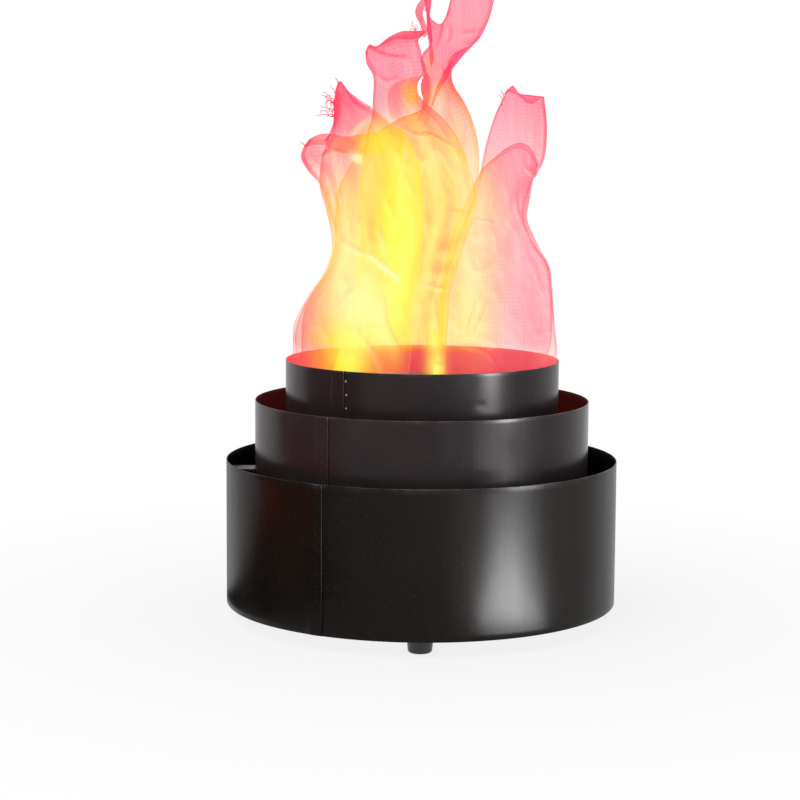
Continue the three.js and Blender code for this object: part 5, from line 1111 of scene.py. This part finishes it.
FLOOR_RINGS = (8.0, 3.0, 1.5, 0.9, 0.5, 0.25, 0.0)
FLOOR_SIDES = 96
# Where the floor starts to turn white and where it is white, as distances from the middle
WHITE_FROM, WHITE_TO = 0.17, 0.62
# Lights: place, target, width and height, and the way that the width runs where it isn't level
SOFT_KEY = ((-0.9, -1.5, 2.0), (0, 0, 0.15), (1.6, 1.6))
FLOOR_CARD = ((0.257, -0.287, 0.004), (0.257, -0.287, 1), (0.32, 0.12), (0.788, -0.616, 0))
UPRIGHT_CARD = ((0.820, -0.560, 0.30), (0, 0, 0.20), (0.24, 0.40))
# Boards at the left: one that lies, and the upright ones with their back, front, lowest, highest and colour
LYING_FLAG = [(-0.45, -0.42, 0.003), (-0.175, -0.30, 0.003), (-0.175, 0.06, 0.003), (-0.45, 0.08, 0.003)]
UPRIGHT_X = -0.45
UPRIGHT_FLAGS = {
    "low_flag": (0.08, -0.42, 0.0, 0.036, (0.0, 0.0, 0.0)),
    "warm_flag": (0.02, -0.34, 0.036, 0.080, (1.3, 0.10, 0.03)),
    "high_flag": (0.08, -0.42, 0.080, 0.36, (0.20, 0.04, 0.035)),
}


def make_camera():
    data = bpy.data.cameras.new("studio_camera")
    data.lens = CAMERA_LENS
    data.sensor_width = 36
    data.shift_x = CAMERA_SHIFT
    data.clip_start, data.clip_end = 0.05, 50
    camera = bpy.data.objects.new("studio_camera", data)
    camera.matrix_world = (Matrix.Translation(CAMERA_PLACE)
                           @ Matrix.Rotation(math.pi / 2 - CAMERA_TILT, 4, "X")
                           @ Matrix.Rotation(CAMERA_ROLL, 4, "Z"))
    bpy.context.scene.collection.objects.link(camera)
    bpy.context.scene.camera = camera


def make_world(grey):
    """White where the camera, a gloss or a see-through part looks at it, and plain grey as a light."""
    world = bpy.data.worlds.new("studio")
    nodes = Nodes(world)
    background = nodes.tree.nodes["Background"]
    nodes.feed(background.inputs["Color"], (1, 1, 1))
    nodes.feed(background.inputs["Strength"], nodes.spread(nodes.seen(), grey, 1.0, 0.0, 1.0))
    bpy.context.scene.world = world


def make_floor(color, near_glow):
    """A pale floor that keeps the shadow under the light and runs out to the white of the background."""
    floor = lathe("studio_floor", [(radius, 0) for radius in FLOOR_RINGS], FLOOR_SIDES)
    material = bpy.data.materials.new("floor_paper")
    nodes = Nodes(material)
    nodes.tree.nodes.clear()
    position = nodes.add("ShaderNodeNewGeometry").outputs["Position"]
    reach = nodes.add("ShaderNodeVectorMath", {0: position}, operation="LENGTH").outputs["Value"]
    share = nodes.computed("MULTIPLY", nodes.seen(), nodes.spread(reach, near_glow, 1.0, WHITE_FROM, WHITE_TO))
    paper = nodes.add("ShaderNodeBsdfDiffuse", {"Color": color}).outputs[0]
    white = nodes.add("ShaderNodeEmission").outputs[0]
    mixed = nodes.add("ShaderNodeMixShader", {"Fac": share, 1: paper, 2: white}).outputs[0]
    nodes.add("ShaderNodeOutputMaterial", {"Surface": mixed})
    floor.data.materials.append(material)


def make_light(name, power, place, target, size, across=None):
    """A rectangular light that faces the target, its width along the given way or level with the floor."""
    data = bpy.data.lights.new(name, "AREA")
    data.shape = "RECTANGLE"
    data.size, data.size_y = size
    data.energy = power
    light = bpy.data.objects.new(name, data)
    away = (Vector(place) - Vector(target)).normalized()
    wide = Vector(across).normalized() if across else Vector((0, 0, 1)).cross(away).normalized()
    light.matrix_world = Matrix.Translation(place) @ Matrix((wide, away.cross(wide), away)).transposed().to_4x4()
    bpy.context.scene.collection.objects.link(light)
    return light


def make_card(name, power, *spec):
    """A bright card that shows in the gloss of the paint and leaves the soft light as it is."""
    card = make_light(name, power, *spec)
    card.visible_diffuse = False
    card.visible_camera = False


def make_flag(name, corners, color):
    """A plain board that shows in the gloss of the paint alone."""
    flag = mesh_piece(name, corners, [(0, 1, 2, 3)])
    board = Finish(name, (0, 0, 0), specular=0)
    board.glow(color, 1)
    flag.data.materials.append(board.material)
    flag.visible_camera = flag.visible_diffuse = flag.visible_shadow = flag.visible_transmission = False


# Settings

def length_setting(name, description, default):
    return bpy.props.FloatProperty(name=name, description=description, default=default, unit="LENGTH", precision=5)


def share_setting(name, description, default):
    return bpy.props.FloatProperty(name=name, description=description, default=default, min=0, max=1,
                                   subtype="FACTOR")


def number_setting(name, description, default):
    return bpy.props.FloatProperty(name=name, description=description, default=default, min=0)


def power_setting(name, description, default):
    return bpy.props.FloatProperty(name=name, description=description, default=default, min=0, unit="POWER")


def color_setting(name, description, default):
    return bpy.props.FloatVectorProperty(name=name, description=description, default=default, size=3, min=0, max=1,
                                         subtype="COLOR")


class FlameHousingSettings(bpy.types.PropertyGroup):
    waviness: length_setting("Waviness", "How far the rolled sheet steel strays from a true circle", 0.00018)
    drum_color: color_setting("Drum paint", "Paint of the lower ring", (0.0052, 0.0036, 0.0024))
    tier_color: color_setting("Tier paint", "Paint of the two upper rings", (0.0225, 0.0150, 0.0160))
    roughness: share_setting("Drum gloss", "Roughness of the lower ring's paint", 0.30)
    tier_roughness: share_setting("Tier gloss", "Roughness of the upper rings' paint", 0.26)
    specular: share_setting("Reflection", "Strength of the paint's reflection", 0.115)
    tier_specular: share_setting("Tier shine", "Strength of the upper rings' reflections", 0.140)
    dust: share_setting("Dust", "Share of dust specks on the paint", 0.2)
    low_glow: color_setting("Low glow", "Light on the foot of the rings' inner walls", (0.75, 0.012, 0.02))
    high_glow: color_setting("High glow", "Light on the rim of the top ring's inner wall", (0.98, 0.07, 0.10))
    middle_glow: color_setting("Gap glow", "Light on the middle ring's inner wall", (0.034, 0.002, 0.002))
    glow: number_setting("Glow strength", "Strength of the lamp light on the inner walls", 0.9)


class FlameSilkSettings(bpy.types.PropertyGroup):
    columns: bpy.props.IntProperty(name="Columns", description="Mesh cells across a tongue", default=110, min=8)
    rows: bpy.props.IntProperty(name="Rows", description="Mesh cells up a tongue", default=190, min=8)
    drape_depth: length_setting("Drape", "Depth of the large soft folds", 0.0022)
    wrinkle_depth: length_setting("Wrinkles", "Depth of the sharp wrinkles", 0.0011)
    crumple_depth: length_setting("Crumple", "Depth of the fine crumpling", 0.00030)
    hem_gap: length_setting("Turned edge", "Gap behind an edge that is turned back", 0.0020)
    thread_pitch: length_setting("Thread pitch", "Distance from thread to thread in the weave", 0.0005)
    thread_radius: length_setting("Loose thread", "Radius of a loose thread at its root", 0.00042)
    dense: share_setting("Middle", "Share of light that silk over the middle of the lamps stops beyond the rest", 0.20)
    gather: share_setting("Gather", "Share of light that bunched silk stops beyond the plain cloth", 0.28)
    glow: number_setting("Glow", "Strength of the lamp light in the silk", 0.85)
    reflected: share_setting("Reflected", "Share of the silk's colour that room light shows", 0.25)
    warm_reach: share_setting("Warm light", "Warmth of the silk over the middle of the lamps", 0.74)
    edge_pink: color_setting("Edge pink", "Silk far from the lamps", (1.0, 0.05, 0.17))
    rose: color_setting("Rose", "Silk that the lamps only just reach", (1.0, 0.10, 0.11))
    salmon: color_setting("Salmon", "Silk at the edge of the warm light", (1.0, 0.22, 0.05))
    orange: color_setting("Orange", "Silk in the warm light", (1.0, 0.42, 0.015))
    amber: color_setting("Amber", "Silk in strong warm light", (1.0, 0.60, 0.015))
    yellow: color_setting("Yellow", "Silk near the middle of the light", (1.0, 0.82, 0.02))
    core_yellow: color_setting("Core yellow", "Silk in the brightest light", (1.0, 1.0, 0.05))
    pale_yellow: color_setting("Pale yellow", "Silk where the light washes it out", (1.0, 0.98, 0.45))
    # Also the colour of painted shade in creases and on the relief's shaded sides
    fold_and_shade_pink: color_setting("Fold pink", "Silk in folds and turned edges", (0.92, 0.04, 0.09))


class FlameInsideSettings(bpy.types.PropertyGroup):
    zinc: color_setting("Zinc", "Plated sheet parts and screws", (0.50, 0.51, 0.53))
    alloy: color_setting("Alloy", "Cast fan frame", (0.42, 0.42, 0.43))
    plastic: color_setting("Plastic", "Inlet, switch and lids", (0.018, 0.018, 0.019))
    fan: color_setting("Fan", "Moulded fan rotor", (0.028, 0.030, 0.034))
    rubber: color_setting("Rubber", "Moulded feet", (0.012, 0.012, 0.012))
    lead: color_setting("Lead", "Sheath of the inner leads", (0.02, 0.02, 0.022))
    terminal: color_setting("Terminal", "Terminal block", (0.72, 0.71, 0.66))
    red_lamp: color_setting("Red lamp", "Lens caps over red emitters", (1.0, 0.03, 0.03))
    amber_lamp: color_setting("Amber lamp", "Lens caps over amber emitters", (1.0, 0.42, 0.02))
    lamp_glow: number_setting("Lamp strength", "Strength of the lit lens caps", 1.4)


class FlameStageSettings(bpy.types.PropertyGroup):
    floor: color_setting("Floor", "Colour of the floor paper", (0.85, 0.85, 0.85))
    floor_glow: share_setting("Floor white", "Share of plain white in the floor near the light", 0.82)
    room_grey: number_setting("Room light", "Strength of the light from all sides", 0.6)
    key_power: power_setting("Key", "Power of the large soft light", 18)
    strip_power: power_setting("Upright card", "Power of the upright card at the right", 17)
    floor_power: power_setting("Floor card", "Power of the card that lies at the right", 7)


# Operators

def numbered(name, count):
    return [f"{name}_{number}" for number in range(1, count + 1)]


INSIDE_FINISHES = {
    "zinc_steel": ["base_plate", "lamp_plate", "fan_guard", "silk_carrier", "silk_clamp_outer", "silk_clamp_inner",
                   "driver_case", *numbered("foot_screw", 4), *numbered("deck_pillar", 4), *numbered("fan_post", 4)],
    "black_steel": [*numbered("outer_bracket", 3), *numbered("inner_bracket", 3)],
    "cast_alloy": ["fan_frame"],
    "fan_plastic": ["fan_rotor"],
    "copper_winding": ["fan_stator"],
    "white_board": ["lamp_board"],
    "black_plastic": ["power_inlet", "switch_body", "switch_rocker", "driver_lid"],
    "white_terminal": ["terminal_block"],
    "lead_sheath": ["mains_lead", "switch_lead", "driver_lead", "motor_lead", "lamp_lead"],
}


def dress(name, material):
    """Gives a carried-over solid its finish."""
    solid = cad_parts[name]
    solid.data.materials.clear()
    solid.data.materials.append(material)


class FLAME_OT_housing(bpy.types.Operator):
    """Build the three rolled rings with their seams, welds, dents and worn rims with a painted highlight"""
    bl_idname = "flame.housing"
    bl_label = "Rings"

    def execute(self, context):
        sizes = context.scene.flame_housing
        drum_paint = black_paint("drum_paint", sizes.drum_color, sizes.roughness, sizes.specular, sizes.dust)
        tier_paint = black_paint("tier_paint", sizes.tier_color, sizes.tier_roughness, sizes.tier_specular, sizes.dust)
        paints = {"outer_drum": drum_paint, "middle_ring": tier_paint, "top_ring": tier_paint}
        walls = {
            "outer_drum": lit_wall("drum_inside", (0.0005, 0.0005, 0.0005), (0, 0, 0), (0.001, 0, 0), 0.2, 0.05),
            "middle_ring": lit_wall("middle_inside", (0.001, 0.0008, 0.0008), sizes.middle_glow, sizes.middle_glow,
                                    sizes.glow, 0.05),
            "top_ring": lit_wall("top_inside", sizes.tier_color, sizes.low_glow, sizes.high_glow, sizes.glow),
        }
        for name, ring in RINGS.items():
            piece = make_ring(name, sizes)
            finish_piece(piece, "black_steel", paints[name], walls[name], replaces=(name,))
            inside = [math.hypot(*face.center[:2]) < ring["radius"] - WALL * 0.6 for face in piece.data.polygons]
            piece.data.polygons.foreach_set("material_index", inside)
        bare = Finish("bare_weld", (0.34, 0.32, 0.31), 0.35, 0.6).material
        for name in RINGS:
            finish_piece(make_welds(name), "black_steel", bare if name == "top_ring" else paints[name])
        return {"FINISHED"}


class FLAME_OT_feet(bpy.types.Operator):
    """Build the four moulded rubber feet"""
    bl_idname = "flame.feet"
    bl_label = "Feet"

    def execute(self, context):
        rubber = moulded("foot_rubber", context.scene.flame_inside.rubber, 0.38, 500, 0.00008)
        for name, angle in FEET.items():
            finish_piece(make_foot(name, angle), "black_rubber", rubber, replaces=(name,))
        return {"FINISHED"}


class FLAME_OT_silk(bpy.types.Operator):
    """Build the six silk tongues and their loose threads"""
    bl_idname = "flame.silk"
    bl_label = "Silk"

    def execute(self, context):
        sizes = context.scene.flame_silk
        silk = flame_silk(sizes)
        loose = thread_finish(sizes.fold_and_shade_pink)
        for name, tongue in TONGUES.items():
            surface = TongueSurface(name, sizes)
            point, place, form = silk_grid(surface)
            piece = cloth_piece(name + "_cloth", point, place, cloth_values(surface, point, *form), silk, (name,))
            extra = [make_threads(name, sizes, loose)] if tongue["threads"] else []
            if name == "silk_front":
                extra.append(make_strip(silk))
        return {"FINISHED"}


class FLAME_OT_lamps(bpy.types.Operator):
    """Build the red and amber lens caps"""
    bl_idname = "flame.lamps"
    bl_label = "Lamps"

    def execute(self, context):
        sizes = context.scene.flame_inside
        lenses = [(slot_name, lens_finish(slot_name, color, sizes.lamp_glow))
                  for slot_name, color in (("red_lens", sizes.red_lamp), ("amber_lens", sizes.amber_lamp))]
        for place, name in enumerate(numbered("lamp_lens", LENS_COUNT)):
            lens = make_lens(name, 360 / LENS_COUNT * (place + 0.5))
            finish_piece(lens, *lenses[place % len(lenses)], replaces=(name,))
        return {"FINISHED"}


class FLAME_OT_inside(bpy.types.Operator):
    """Finish the base, fan, boards, leads, inlet and switch"""
    bl_idname = "flame.inside"
    bl_label = "Inside parts"

    def execute(self, context):
        sizes = context.scene.flame_inside
        housing = context.scene.flame_housing
        finishes = {
            "zinc_steel": worked_metal("zinc_plate", sizes.zinc, 0.38, 0.85, 40),
            "black_steel": black_paint("bracket_paint", housing.tier_color, housing.roughness, housing.specular,
                                       housing.dust),
            "cast_alloy": worked_metal("cast_alloy", sizes.alloy, 0.55, 0.8, 120),
            "fan_plastic": moulded("fan_plastic", sizes.fan, 0.42),
            "copper_winding": wound_copper(),
            "white_board": circuit_board(),
            "black_plastic": moulded("black_plastic", sizes.plastic, 0.4),
            "white_terminal": moulded("white_terminal", sizes.terminal, 0.45),
            "lead_sheath": moulded("lead_sheath", sizes.lead, 0.5, 300),
        }
        for slot_name, names in INSIDE_FINISHES.items():
            for name in names:
                dress(name, finishes[slot_name])
        return {"FINISHED"}


class FLAME_OT_stage(bpy.types.Operator):
    """Set up the floor, the room, the lights and the camera"""
    bl_idname = "flame.stage"
    bl_label = "Studio"

    def execute(self, context):
        sizes = context.scene.flame_stage
        context.scene.view_settings.view_transform = "Standard"
        make_camera()
        make_world(sizes.room_grey)
        make_floor(sizes.floor, sizes.floor_glow)
        make_light("soft_key", sizes.key_power, *SOFT_KEY)
        make_card("floor_card", sizes.floor_power, *FLOOR_CARD)
        make_card("upright_card", sizes.strip_power, *UPRIGHT_CARD)
        make_flag("floor_flag", LYING_FLAG, (0.0, 0.0, 0.0))
        for name, (back, front, low, high, color) in UPRIGHT_FLAGS.items():
            corners = [(UPRIGHT_X, *corner) for corner in ((front, low), (back, low), (back, high), (front, high))]
            make_flag(name, corners, color)
        return {"FINISHED"}


OPERATORS = (FLAME_OT_stage, FLAME_OT_housing, FLAME_OT_feet, FLAME_OT_lamps, FLAME_OT_inside, FLAME_OT_silk)
SETTINGS = {
    "flame_housing": FlameHousingSettings,
    "flame_silk": FlameSilkSettings,
    "flame_inside": FlameInsideSettings,
    "flame_stage": FlameStageSettings,
}


class FLAME_PT_panel(bpy.types.Panel):
    bl_idname = "FLAME_PT_panel"
    bl_label = "Flame Light"
    bl_space_type = "VIEW_3D"
    bl_region_type = "UI"
    bl_category = "Flame Light"

    def draw(self, context):
        for operator in OPERATORS:
            self.layout.operator(operator.bl_idname)
        for name, group in SETTINGS.items():
            box = self.layout.box()
            for setting in group.__annotations__:
                box.prop(getattr(context.scene, name), setting)


CLASSES = (*SETTINGS.values(), *OPERATORS, FLAME_PT_panel)


def register():
    for made in CLASSES:
        bpy.utils.register_class(made)
    for name, group in SETTINGS.items():
        setattr(bpy.types.Scene, name, bpy.props.PointerProperty(type=group))


def unregister():
    for name in SETTINGS:
        delattr(bpy.types.Scene, name)
    for made in reversed(CLASSES):
        bpy.utils.unregister_class(made)


def main():
    register()
    bpy.ops.flame.stage()
    bpy.ops.flame.housing()
    bpy.ops.flame.feet()
    bpy.ops.flame.lamps()
    bpy.ops.flame.inside()
    bpy.ops.flame.silk()


if __name__ == "__main__":
    main()
